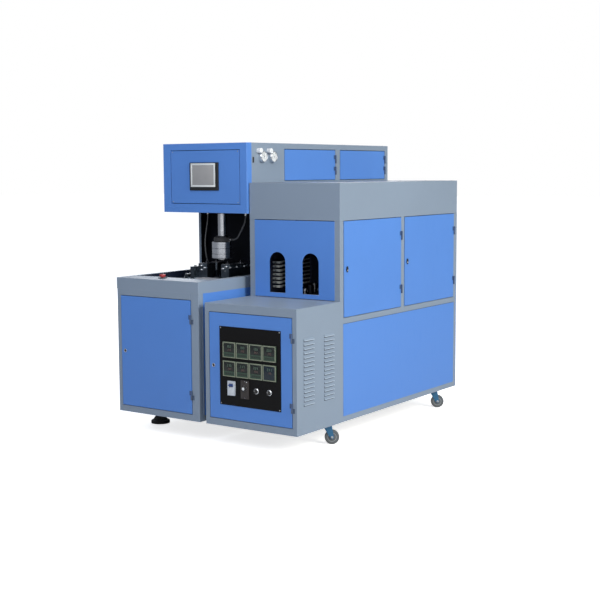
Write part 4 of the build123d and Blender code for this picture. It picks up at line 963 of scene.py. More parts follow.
MILLED = Metal(
    "milled_aluminium", "mould_alu", rgb(196, 198, 202), 0.36, (900.0, 120.0, 120.0), 0.00012, 0.22,
)
BLACKED = Metal("blacked_steel", "iron", rgb(58, 60, 66), 0.42, (240.0, 240.0, 240.0), 0.0001, 0.35)
IRON = Metal("oiled_iron", "iron", rgb(92, 102, 112), 0.40, (240.0, 240.0, 240.0), 0.0001, 0.3)
BRASS = Metal("brass", "steel", rgb(206, 172, 98), 0.26, (500.0, 500.0, 500.0), 0.00005, 0.2)
CAST = Moulded("painted_casting", "iron", rgb(66, 70, 78), 0.55, 260.0, 0.0007)
HINGE = Moulded("painted_hinge", "zinc", rgb(74, 88, 112), 0.44, 400.0, 0.0001, dust=0.03)
RUBBER = Moulded("black_rubber", "hose_black", rgb(26, 26, 28), 0.72, 420.0, 0.0003, dust=0.12)
HOSE = Moulded("hose_sleeve", "hose_black", rgb(74, 76, 80), 0.26, 300.0, 0.0001, gloss=0.5)
TYRE = Moulded("grey_tyre", "tread", rgb(98, 102, 106), 0.58, 500.0, 0.0002, dust=0.08)
HUB = Moulded("castor_hub", "grey_plastic", rgb(150, 155, 160), 0.40)
BLACK = Moulded("black_plastic", "black_plastic", rgb(24, 24, 26), 0.40)
WHITE = Moulded("white_plastic", "white_plastic", rgb(226, 229, 234), 0.34, gloss=0.25)
SURROUND = Moulded("screen_surround", "black_plastic", rgb(13, 15, 20), 0.42, dust=0.02)
BEZEL = Moulded("screen_bezel", "grey_plastic", rgb(222, 226, 228), 0.34, dust=0.0)
PALE = Moulded("pale_plastic", "grey_plastic", rgb(202, 208, 216), 0.38)
METER = Moulded("meter_face", "meter_green", rgb(48, 72, 56), 0.42, dust=0.02)
METER_RIM = Moulded("meter_rim", "meter_green", rgb(134, 140, 122), 0.40, dust=0.02)
METER_KEYS = Moulded("meter_keys", "grey_plastic", rgb(38, 50, 44), 0.50, dust=0.02)
SPEED_FACE = Moulded("speed_face", "grey_plastic", rgb(50, 44, 43), 0.46, dust=0.02)
TOGGLE = Moulded("toggle_blue", "blue_plastic", rgb(28, 62, 128), 0.28, gloss=0.4)
RED = Moulded("button_red", "red_plastic", rgb(156, 30, 36), 0.34, gloss=0.3)
CERAMIC = Moulded("lamp_ceramic", "white_plastic", rgb(216, 218, 214), 0.60, 700.0, dust=0.02)
DIAL = Moulded("dial_white", "gauge_face", rgb(238, 240, 243), 0.45)
WINDOW = Clear("meter_window", "screen", rgb(30, 36, 34), 0.16, 0.0, 1.0)
WINDOW_BLUE = Clear("meter_window_blue", "screen", rgb(26, 40, 50), 0.16, 0.0, 1.0)
GLASS = Clear("gauge_glass", "quartz", rgb(235, 240, 243), 0.05, 0.9, 0.22)
LCD = Lit("screen_grey", "screen", rgb(150, 150, 152), 0.22, 0.16)
DIGIT = Lit("digit_green", "screen", rgb(96, 118, 104), 0.30, 0.10)
DIGIT_RED = Lit("digit_red", "screen", rgb(108, 84, 80), 0.30, 0.08)


@dataclass
class Studio:
    """The camera, the lamps and the pale floor."""

    eye: Point = (4.5811, -6.5992, 1.6769)
    yaw: float = 35.0037
    dip: float = 6.2874
    roll: float = -0.3077
    lens: float = 70.577
    floor_span: float = 60.0

    def camera(self) -> None:
        """Sets the camera at the photograph's place."""
        yaw, dip, roll = (math.radians(angle) for angle in (self.yaw, self.dip, self.roll))
        ahead = Vector((-math.sin(yaw) * math.cos(dip), math.cos(yaw) * math.cos(dip), -math.sin(dip)))
        right = Vector((math.cos(yaw), math.sin(yaw), 0.0))
        up = right.cross(ahead)
        across = right * math.cos(roll) + up * math.sin(roll)
        upward = up * math.cos(roll) - right * math.sin(roll)
        data = bpy.data.cameras.new("photo_camera")
        data.lens = self.lens
        data.sensor_width = 36.0
        data.clip_end = 200.0
        made = placed("photo_camera", data)
        turn = Matrix((across, upward, -ahead)).transposed().to_4x4()
        made.matrix_world = Matrix.Translation(self.eye) @ turn
        bpy.context.scene.camera = made

    def lamp(self, name: str, place: Point, aim: Point, size: float, power: float, colour: Colour) -> None:
        """A large soft area lamp.

        Args:
            name: the lamp.
            place: where it stands.
            aim: the point that it faces.
            size: its diameter.
            power: its power in watts.
            colour: the light's colour.
        """
        data = bpy.data.lights.new(name, "AREA")
        data.shape = "DISK"
        data.size = size
        data.energy = power
        data.color = colour
        made = placed(name, data)
        made.location = place
        made.rotation_mode = "QUATERNION"
        made.rotation_quaternion = (Vector(aim) - Vector(place)).to_track_quat("-Z", "Y")

    def world(self) -> None:
        """A surround that the camera sees as white, and polished metal as brighter on the lit side."""
        world = bpy.data.worlds.new("studio")
        graph = Graph(world)
        path = graph.node("LightPath").outputs
        seen = graph.math("MAXIMUM", path["Is Camera Ray"], path["Is Transmission Ray"])
        east, north, height = graph.split(graph.node("TexCoord").outputs["Generated"])
        toward = graph.math("SUBTRACT", graph.times(east, 0.57), graph.times(north, 0.82))
        glossy = graph.mix(graph.fit(toward, 0.42, 0.92), (0.32, 0.33, 0.36), (1.60, 1.61, 1.65))
        sky = graph.mix(graph.fit(height, -0.2, 0.6), (0.20, 0.215, 0.25), (0.37, 0.40, 0.46))
        light = graph.mix(path["Is Glossy Ray"], sky, glossy)
        back = graph.node("Background")
        graph.fill(back, {"Color": graph.mix(seen, light, (1.0, 1.0, 1.0))})
        graph.fill(graph.node("OutputWorld"), {"Surface": back.outputs[0]})
        bpy.context.scene.world = world

    def floor(self) -> None:
        """A pale floor that keeps the machine's shadow."""
        bm = bmesh.new()
        bmesh.ops.create_grid(bm, x_segments=1, y_segments=1, size=self.floor_span)
        mesh = bpy.data.meshes.new("studio_floor")
        bm.to_mesh(mesh)
        bm.free()
        made = placed("studio_floor", mesh)
        paint = bpy.data.materials.new("floor_paper")
        graph = Graph(paint)
        camera = graph.node("LightPath").outputs["Is Camera Ray"]
        shade = graph.node("BsdfDiffuse")
        graph.fill(shade, {"Color": graph.mix(camera, (0.62, 0.62, 0.62), (0.97, 0.97, 0.97))})
        glow = graph.node("Emission")
        graph.fill(glow, {"Color": (1.0, 1.0, 1.0, 1.0), "Strength": graph.times(camera, 0.74)})
        both = graph.fill(graph.node("AddShader"), {0: shade.outputs[0], 1: glow.outputs[0]})
        graph.fill(graph.node("OutputMaterial"), {"Surface": both.outputs[0]})
        mesh.materials.append(paint)

    def build(self) -> None:
        """Sets up the whole studio."""
        self.camera()
        self.world()
        self.floor()
        self.lamp("key_lamp", (7.2, -1.2, 4.2), (0.3, 0.1, 0.8), 4.0, 505.0, (1.0, 0.98, 0.88))
        self.lamp("front_lamp", (0.9, -4.1, 3.4), (0.0, -0.6, 1.2), 3.0, 71.0, (0.97, 0.98, 0.98))
        self.lamp("back_lamp", (-5.0, 6.5, 4.0), (0.0, 0.2, 0.9), 4.0, 170.0, (0.96, 0.98, 1.0))
        bpy.context.scene.view_settings.view_transform = "Standard"


BLOW_AXIS = (-0.373, -0.426)  # the x and y that the blow station and the mould are centred on
HEAD_FLOOR = 1.405  # the underside of the head, where the hoses come out
DOOR_FACE = -1.099  # the front of the clamp unit's door and of the instrument plate


@dataclass
class SubAssembly:
    """A part of the machine that dresses its nodes and adds its details.

    Attributes:
        body: the body that most of its pieces ride on.
    """

    frame: dict
    body: str = "machine"

    def box(self, node: str) -> tuple[Vector, Vector]:
        """The lowest and highest corner of a node."""
        low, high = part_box(node)
        return Vector(low), Vector(high)

    def dress(self, finish: Finish, *names: str) -> None:
        """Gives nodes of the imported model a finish.

        Args:
            finish: the finish.
            names: the nodes.
        """
        for name in names:
            node = self.frame["nodes"][name]
            if not node.material_slots:
                node.data.materials.append(None)
            for place in node.material_slots:
                place.material = finish.material()

    def grey(self, name: str, node: str, *zones: Zone) -> None:
        """Gives a node grey paint, under a name of its own."""
        self.dress(PALETTE.grey_on(name, *self.box(node), *zones), node)

    def blue(self, name: str, node: str, *zones: Zone) -> None:
        """Gives a node blue paint, under a name of its own."""
        self.dress(PALETTE.blue_on(name, *self.box(node), *zones), node)

    def doors(self, way: Way, out: float, *names: str) -> None:
        """Paints doors that face one way."""
        for name in names:
            self.dress(PALETTE.door_on(name, *self.box(name), way, out), name)

    def blocks(self, name: str, body: str, finish: Finish, boxes: Iterable[Sequence]) -> None:
        """Makes a piece of blocks alone.

        Args:
            name: the piece.
            body: the body that it rides.
            finish: its finish.
            boxes: what Shape.block takes, for each block.
        """
        made = Shape()
        for box in boxes:
            made.block(*box)
        made.piece(name, body, finish)

    def door_lock(self, name: str, door: str, at: Point) -> None:
        """A cam lock on a door that faces -Y: a bright rim, a dark core and its key slot.

        Args:
            name: begins the names of its two pieces.
            door: the door's body.
            at: the lock's middle, on the door's face.
        """
        rim, core = Shape(), Shape()
        bore = 0.0088
        flat = [(bore, 0.0), (0.0118, 0.0), (0.0116, 0.0009), (0.0102, 0.0016), (bore, 0.0010), (bore, 0.0)]
        rim.turned(at, Way.Y, flat, 32, -1.0)
        rim.piece(name + "_rim", door, CHROME)
        core.turned(at, Way.Y, [(0.0, 0.0004), (0.0087, 0.0004), (0.0087, 0.0), (0.0, 0.0)], 32, -1.0)
        core.block((-0.0012, -0.0018, -0.0052), (0.0012, 0.0006, 0.0052), 0.0004, at)
        core.piece(name + "_core", door, BLACK)

    def screws(
        self, name: str, body: str, spots: Iterable[Point], way: Way, out: float, radius: float,
    ) -> None:
        """A set of cross-head screws on one body, all facing one way.

        Args:
            name: the piece.
            body: the body that it rides.
            spots: their middles, on the face.
            way: their axis.
            out: how far the heads stand out, along their axis or, where negative, against it.
            radius: the heads' radius.
        """
        heads = Shape()
        for spot in spots:
            heads.cross_screw(spot, way, radius, out)
        heads.piece(name, body, ZINC)


@dataclass
class ClampUnit(SubAssembly):
    """The left unit: frame, deck tray, door, feet, mould clamp and stop button.

    Attributes:
        recess_x: the sides of the deck tray's recess.
        recess_y: its front, and how far back its lip reaches.
        deck: the deck's height.
        stop_at: the stop button's x and y.
        feet_at: the x and y of the levelling feet.
        foot_ribs: height, radius and thickness of each rib on a foot.
        tie_off: how far the tie bars lie from the blow axis, front and back.
        tie_z: their heights.
        cylinder_z: the clamp cylinders' height.
        mould_top: the height of the mould halves' top face.
    """

    recess_x: Pair = (-0.679, -0.067)
    recess_y: Pair = (-0.931, -0.30)
    deck: float = 1.0
    stop_at: Pair = (-0.413, -0.991)
    feet_at: tuple[Pair, ...] = ((-0.641, -0.781), (-0.641, 0.844))
    foot_ribs: tuple[Point, ...] = (
        (0.0055, 0.0618, 0.0012), (0.0105, 0.0618, 0.0012), (0.0225, 0.0498, 0.0014),
    )
    tie_off: float = 0.12
    tie_z: Pair = (0.740, 0.955)
    cylinder_z: float = 0.8475
    mould_top: float = 1.060

    def paint(self) -> None:
        """Dresses the unit's nodes."""
        # the tray's recess is painted dark navy: partly its paint, partly painted shade
        low = (self.recess_x[0] - 0.0005, self.recess_y[0] - 0.0005, 0.90)
        high = (self.recess_x[1] + 0.0005, -0.22, self.deck - 0.0004)
        self.grey("deck", "deck_tray", Zone(low, high, PALETTE.recess_shade))
        self.grey("clamp_frame", "clamp_frame")
        ends = ((-1.20, -1.05), (1.06, 1.20))
        folds = [Zone((-0.80, first, 0.10), (0.10, last, 1.10), PALETTE.grey) for first, last in ends]
        self.blue("sides", "clamp_panels", *folds)
        self.doors(Way.Y, -1.0, "clamp_door")
        self.dress(RUBBER, "levelling_feet")
        self.dress(IRON, "clamp_end_plates", "left_mould", "right_mould")
        self.dress(ROD, "tie_bars")
        self.dress(MILLED, "pneumatic_cylinders")
        self.dress(STEEL, "lift_plug")
        self.dress(RED, "estop_button")
        self.dress(ZINC, "unit_couplings")
        self.dress(HINGE, "door_hinges")

    def deck_trim(self) -> None:
        """The folded lip round the tray's recess."""
        (x_low, x_high), (y_low, y_high), wide = self.recess_x, self.recess_y, 0.004
        bars = (
            ((x_low - wide, y_low - wide), (x_high + wide, y_low)), ((x_low - wide, y_low), (x_low, y_high)),
            ((x_high, y_low), (x_high + wide, y_high)),
        )
        finish = PALETTE.grey_on("tray_lip", (x_low, y_low, 0.9), (x_high, 0.0, 1.0))
        boxes = [((*low, self.deck - SINK), (*high, self.deck + 0.0016), 0.0006) for low, high in bars]
        self.blocks("tray_lip", self.body, finish, boxes)

    def stop_station(self) -> None:
        """The stop button's raised collar."""
        collar = Shape()
        outline = [(0.0300, 0.0), (0.0300, 0.0022), (0.0285, 0.0034), (0.0150, 0.0040), (0.0112, 0.0036)]
        collar.turned((*self.stop_at, self.deck), Way.Z, [(0.0112, 0.0), *outline, (0.0112, 0.0)])
        collar.piece("stop_collar", self.body, BLACK)

    def feet(self) -> None:
        """Threaded stems, lock nuts and ribbed rims of the levelling feet."""
        stems, pads = Shape(), Shape()
        for spot in self.feet_at:
            stems.rod((*spot, 0.066), Way.Z, 0.064, 0.0105, 0.0008)
            for turn in range(12):
                stems.torus((*spot, 0.080 + turn * 0.0030), Way.Z, 0.0104, 0.0009, (20, 6))
            for height, spin in ((0.0675, 0.0), (0.112, 0.3)):
                stems.hexagon((*spot, height), Way.Z, 0.011, 0.034, spin)
            for height, radius, thick in self.foot_ribs:
                pads.torus((*spot, height), Way.Z, radius, thick, (48, 8))
        stems.piece("foot_stems", self.body, ZINC)
        pads.piece("foot_ribs", self.body, RUBBER)

    def tie_nuts(self) -> None:
        """Nuts and washers on the tie bars outside the end plates."""
        nuts = Shape()
        low, high = self.box("clamp_end_plates")
        washer = 0.003
        for y in (BLOW_AXIS[1] - self.tie_off, BLOW_AXIS[1] + self.tie_off):
            for z in self.tie_z:
                for face, sign in ((low.x, -1.0), (high.x, 1.0)):
                    nuts.ring((face + min(0.0, sign) * washer, y, z), Way.X, (0.029, 0.0185), washer)
                    nuts.hexagon((face + sign * washer, y, z), Way.X, sign * 0.013, 0.046, 0.2)
        nuts.piece("tie_nuts", self.body, ZINC)

    def cylinder_caps(self) -> None:
        """End caps, tie rods and elbow fittings of the clamp cylinders."""
        caps, ports = Shape(), Shape()
        low, high = self.box("clamp_end_plates")
        y, z, half = BLOW_AXIS[1], self.cylinder_z, 0.0405
        for sign, start in ((-1.0, low.x), (1.0, high.x)):
            for reach in (0.0, 0.090):
                at = (start + sign * reach, y, z)
                caps.block((0.0, -half, -half), (sign * 0.015, half, half), 0.003, at)
            for side in (-0.031, 0.031):
                for rise in (-0.031, 0.031):
                    caps.rod((start, y + side, z + rise), Way.X, sign * 0.106, 0.0035, 0.0, 12)
            for reach in (0.008, 0.098):
                ports.rod((start + sign * reach, y, z + 0.040), Way.Z, 0.016, 0.006, 0.001, 16)
                ports.hexagon((start + sign * reach, y, z + half), Way.Z, 0.006, 0.015)
        caps.piece("cylinder_caps", self.body, MILLED)
        ports.piece("cylinder_ports", self.body, BRASS)

    def mould_dress(self) -> None:
        """Cooling fittings, bolts and machined top faces on both mould halves."""
        y, top = BLOW_AXIS[1], self.mould_top
        for sign, body in ((-1.0, "left_mould"), (1.0, "right_mould")):
            parting = BLOW_AXIS[0] + sign * 0.06015
            fittings, bolts, ports = Shape(), Shape(), Shape()
            for side, reach in ((-0.062, 0.030), (0.058, 0.044)):
                spot = (parting + sign * reach, y + side)
                fittings.hexagon((*spot, top), Way.Z, 0.008, 0.017)
                fittings.rod((*spot, 1.068), Way.Z, 0.010, 0.0055, 0.001, 16)
                for height in (1.071, 1.0745):
                    fittings.torus((*spot, height), Way.Z, 0.0056, 0.0011, (24, 8))
            for side in (-0.110, -0.040, 0.040, 0.110):
                spot = (parting + sign * 0.090, y + side, 1.040)
                bolts.cap_screw(spot, (0.0085, 0.0078, 0.0045), (0.0075, 0.0085, 0.0035), 24)
            for reach, z in ((0.018, 1.030), (0.046, 1.044), (0.046, 1.016)):
                x, face = parting + sign * reach, y - 0.0948
                ports.hexagon((x, face, z), Way.Y, -0.007, 0.017)
                ports.rod((x, face - 0.006, z), Way.Y, -0.010, 0.0055, 0.001, 16)
            ports.piece("mould_ports_" + body, body, CHROME)
            fittings.piece("mould_fittings_" + body, body, BLACKED)
            bolts.piece("mould_bolts_" + body, body, ZINC)
            self.blocks("mould_top_" + body, body, STEEL, [
                ((sign * 0.003, low, -SINK), (sign * 0.072, high, 0.0008), 0.0004, (parting, y, top))
                for low, high in ((-0.091, -0.036), (0.036, 0.091))
            ])

    def build(self) -> None:
        """Dresses the unit and adds all its details."""
        self.paint()
        self.deck_trim()
        self.stop_station()
        self.feet()
        self.tie_nuts()
        self.cylinder_caps()
        self.mould_dress()
        low, high = self.box("clamp_door")
        self.door_lock("clamp_lock", "clamp_door", (low.x + 0.032, DOOR_FACE, (low.z + high.z) / 2))


@dataclass
class BlowStation(SubAssembly):
    """The blowing head that hangs under the machine's head, and its hoses."""

    barrel_radius: float = 0.071
    bands_z: tuple[Pair, ...] = ((1.0975, 1.1225), (1.1255, 1.1600), (1.1630, 1.2025))
    seals_z: Pair = (1.1240, 1.1615)
    collar_high: float = 1.234
    hose_radius: float = 0.006

    def hose(self, name: str, node: str, route: Sequence[Point], length: float) -> None:
        """A rubber air hose on one smooth spline, in place of its plain solid.

        Args:
            name: the piece's name.
            node: the node that it replaces.
            route: the same points as its solid's route.
            length: its length.
        """
        curve = bpy.data.curves.new(name, "CURVE")
        curve.dimensions = "3D"
        curve.bevel_depth = self.hose_radius
        curve.bevel_resolution = 5
        curve.resolution_u = 16
        curve.use_fill_caps = True
        spline = curve.splines.new("NURBS")
        spline.points.add(len(route) - 1)
        for point, place in zip(spline.points, route):
            point.co = (*place, 1.0)
        spline.order_u = 3
        spline.use_endpoint_u = True
        made = placed(name, curve)
        curve.materials.append(HOSE.material())
        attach(made, self.body)
        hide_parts(node)
        LOG.info("%s: a hose of %.3f m", name, length)

    def hoses(self) -> None:
        """Both hoses and the fittings at their ends."""
        x, y = BLOW_AXIS
        right = [
            (x + 0.196, y + 0.003, HEAD_FLOOR), (x + 0.196, y + 0.003, 1.360), (x + 0.176, y + 0.004, 1.313),
            (x + 0.146, y + 0.002, 1.262), (x + 0.122, y, 1.220), (x + 0.083, y, 1.220),
        ]
        left = [
            (-0.624, -0.272, HEAD_FLOOR), (-0.624, -0.272, 1.345), (-0.634, -0.282, 1.265),
            (-0.640, -0.290, 1.180), (-0.632, -0.288, 1.095), (-0.620, -0.276, 1.010),
            (-0.620, -0.276, 0.940),
        ]
        self.hose("air_hose_right", "hose_right", right, 0.239)
        self.hose("air_hose_left", "hose_left", left, 0.468)
        nuts = Shape()
        for route in (right, left):
            nuts.hexagon((*route[0][:2], HEAD_FLOOR - 0.015), Way.Z, 0.015, 0.020)
            nuts.rod((*route[0][:2], HEAD_FLOOR - 0.025), Way.Z, 0.010, 0.0085, 0.0015, 24)
        nuts.hexagon((x + 0.059, y, 1.220), Way.X, 0.012, 0.019)
        nuts.hexagon((*left[-1][:2], 0.9402), Way.Z, 0.012, 0.020)
        nuts.piece("hose_fittings", self.body, CHROME)

    def bands(self) -> None:
        """Turned bands round the barrel, with seals between them."""
        bands, seals = Shape(), Shape()
        radii = (self.barrel_radius + 0.0013, self.barrel_radius - 0.001)
        for low, high in self.bands_z:
            bands.ring((*BLOW_AXIS, low), Way.Z, radii, high - low, 0.0010, 96)
        bands.piece("barrel_bands", self.body, TURNED)
        for height in self.seals_z:
            seals.torus((*BLOW_AXIS, height), Way.Z, self.barrel_radius - 0.0004, 0.0010, (96, 8))
        seals.piece("barrel_seals", self.body, BLACKED)

    def screws_round(self) -> None:
        """Cap screws on the collar, and the lock rings on the tube."""
        heads, rings = Shape(), Shape()
        for x, y in circle(6, 0.046, math.radians(30)):
            spot = (BLOW_AXIS[0] + x, BLOW_AXIS[1] + y, self.collar_high - SINK)
            heads.cap_screw(spot, (0.0065, 0.0059, 0.0034), (0.0055, 0.0063, 0.0025), 20)
        heads.piece("collar_screws", self.body, BLACKED)
        for foot, outer, height in ((self.collar_high, 0.040, 0.010), (1.393, 0.044, 0.0115)):
            rings.ring((*BLOW_AXIS, foot), Way.Z, (outer, 0.0311), height, 0.0012)
        rings.piece("tube_rings", self.body, BLACKED)

    def build(self) -> None:
        """Dresses the station and adds its details."""
        self.dress(TURNED, "blow_barrel")
        self.dress(BLACK, "blow_collar")
        self.dress(ROD, "stretch_rod")
        self.dress(TUBE, "blow_tube")
        self.dress(STEEL, "blow_nozzle")
        self.dress(MILLED, "stretch_cylinder")
        self.bands()
        self.screws_round()


@dataclass
class Head(SubAssembly):
    """The valve head: hood, body, tower, operator panel, gauges and upper doors."""

    door: str = "hmi_panel"
    screen_low: Pair = (-0.444, 1.573)
    screen_high: Pair = (-0.240, 1.726)
    gauge_y: Pair = (-0.496, -0.388)
    gauge_z: float = 1.766
    gauge_r: float = 0.036

    def paint(self) -> None:
        """Dresses the head's nodes."""
        self.blue("hood", "head_hood")
        self.blue("hmi", "hmi_panel")
        # the head's underside is painted near black: painted shade
        self.grey("head", "head_body", Zone((-0.667, -0.60, 1.38), (-0.055, 1.08, 1.4068), PALETTE.inner_shade))
        low, high = self.box("tower_shell")
        # the tower's inside is painted near black: painted shade
        inside = Zone((-0.6686, -0.75, 0.93), (-0.0524, 1.0815, 1.42), PALETTE.inner_shade)
        self.dress(PowderPaint(
            "grey_paint_tower", "grey_paint", PALETTE.grey, 0.55, tuple(low), tuple(high), (inside,),
            shine=0.2,
        ), "tower_shell")
        self.dress(SURROUND, "touch_screen")
        self.dress(CHROME, "pressure_gauges")
        self.dress(WHITE, "regulator_knob_front", "regulator_knob_rear")
        self.doors(Way.X, 1.0, "upper_door_front", "upper_door_rear")

    def screen(self) -> None:
        """The screen's bright frame, its display and the step round its edge."""
        low, high = self.box("touch_screen")
        at, wide, line = (0.0, low.y, 0.0), 0.012, 0.0012
        (left, foot), (right, top), edge = self.screen_low, self.screen_high, wide - SINK
        bezel = Shape()
        bezel.border(at, self.screen_low, self.screen_high, (wide, wide), 0.0022, 0.0007)
        bezel.piece("screen_bezel", self.door, BEZEL)
        display = ((left + edge, -0.0010, foot + edge), (right - edge, SINK, top - edge), 0.0002, at)
        self.blocks("screen_display", self.door, LCD, [display])
        x, z = (low.x + 0.006, high.x - 0.006), (low.z + 0.006, high.z - 0.006)
        level = [((x[0], -0.0006, spot - line), (x[1], SINK, spot + line), 0.0003, at) for spot in z]
        upright = [((spot - line, -0.0006, z[0]), (spot + line, SINK, z[1]), 0.0003, at) for spot in x]
        self.blocks("screen_step", self.door, SURROUND, level + upright)

    def gauges(self) -> None:
        """Rim, dial, ticks, pointer and glass of both pressure gauges."""
        face, r, inner = self.box("pressure_gauges")[1].x, self.gauge_r, self.gauge_r * 0.86
        rim = [(r, 0.0), (r, 0.001), (r * 0.96, 0.0034), (r * 0.90, 0.004), (inner, 0.0022)]
        cover = [(0.0, 0.0026), (r * 0.5, 0.0024), (inner, 0.0018), (inner, 0.0014), (0.0, 0.0021)]
        rims, dials, marks, hands, glasses = (Shape() for _ in range(5))
        for count, y in enumerate(self.gauge_y):
            at = (face, y, self.gauge_z)
            rims.turned(at, Way.X, [(inner, 0.0), *rim, (inner, 0.0)])
            dials.turned(at, Way.X, [(0.0, 0.0005), (inner, 0.0005), (inner, 0.0), (0.0, 0.0)])
            for tick in range(41):
                near, wide = (0.66, 0.0011) if tick % 5 == 0 else (0.73, 0.0005)
                angle = math.radians(45.0 + tick * 6.75)
                spot = (face + 0.0005, y, self.gauge_z)
                marks.spoke(spot, Way.X, angle, (r * near, r * 0.79), wide, 0.0002)
            angle = math.radians(195.0 + 22.0 * count)
            hands.spoke((face + 0.0009, y, self.gauge_z), Way.X, angle, (-0.22 * r, 0.68 * r), 0.0016, 0.0004)
            hands.rod((face + 0.0006, y, self.gauge_z), Way.X, 0.0010, 0.0032, 0.0003, 20)
            glasses.turned(at, Way.X, [*cover, cover[0]])
        for name, shape, finish in (
            ("rims", rims, CHROME), ("dials", dials, DIAL), ("marks", marks, BLACK), ("hands", hands, BLACK),
            ("glasses", glasses, GLASS),
        ):
            shape.piece("gauge_" + name, self.body, finish)

    def knobs(self) -> None:
        """Grip ribs and cap of both regulator knobs."""
        for body in ("regulator_knob_front", "regulator_knob_rear"):
            low, high = self.box(body)
            centre, radius = (low + high) / 2, (high.z - low.z) / 2
            grip = Shape()
            for y, z in circle(24, radius):
                grip.rod((high.x - 0.0125, centre.y + y, centre.z + z), Way.X, 0.0105, 0.0011, 0.0003, 8)
            outline = [(0.0, 0.0), (radius * 0.72, 0.0), (radius * 0.66, 0.0010), (0.0, 0.0013)]
            grip.turned((high.x - SINK, centre.y, centre.z), Way.X, outline, 32)
            grip.piece(body + "_grip", body, WHITE)

    def fixings(self) -> None:
        """Corner screws of the operator panel and the hood's catch block."""
        low, high = self.box("hmi_panel")
        corner = Vector((0.014, 0.0, 0.014))
        (left, y, foot), (right, _, top) = low + corner, high - corner
        spots = [(x, y, z) for x in (left, right) for z in (foot, top)]
        self.screws("hmi_screws", self.door, spots, Way.Y, -0.0018, 0.0034)
        catch = ((0.0118, -0.593, 1.728), (0.0165, -0.581, 1.764), 0.0015)
        self.blocks("hood_catch", self.body, BLACK, [catch])

    def build(self) -> None:
        """Makes the head's dressing."""
        self.paint()
        self.screen()
        self.gauges()
        self.knobs()
        self.fixings()


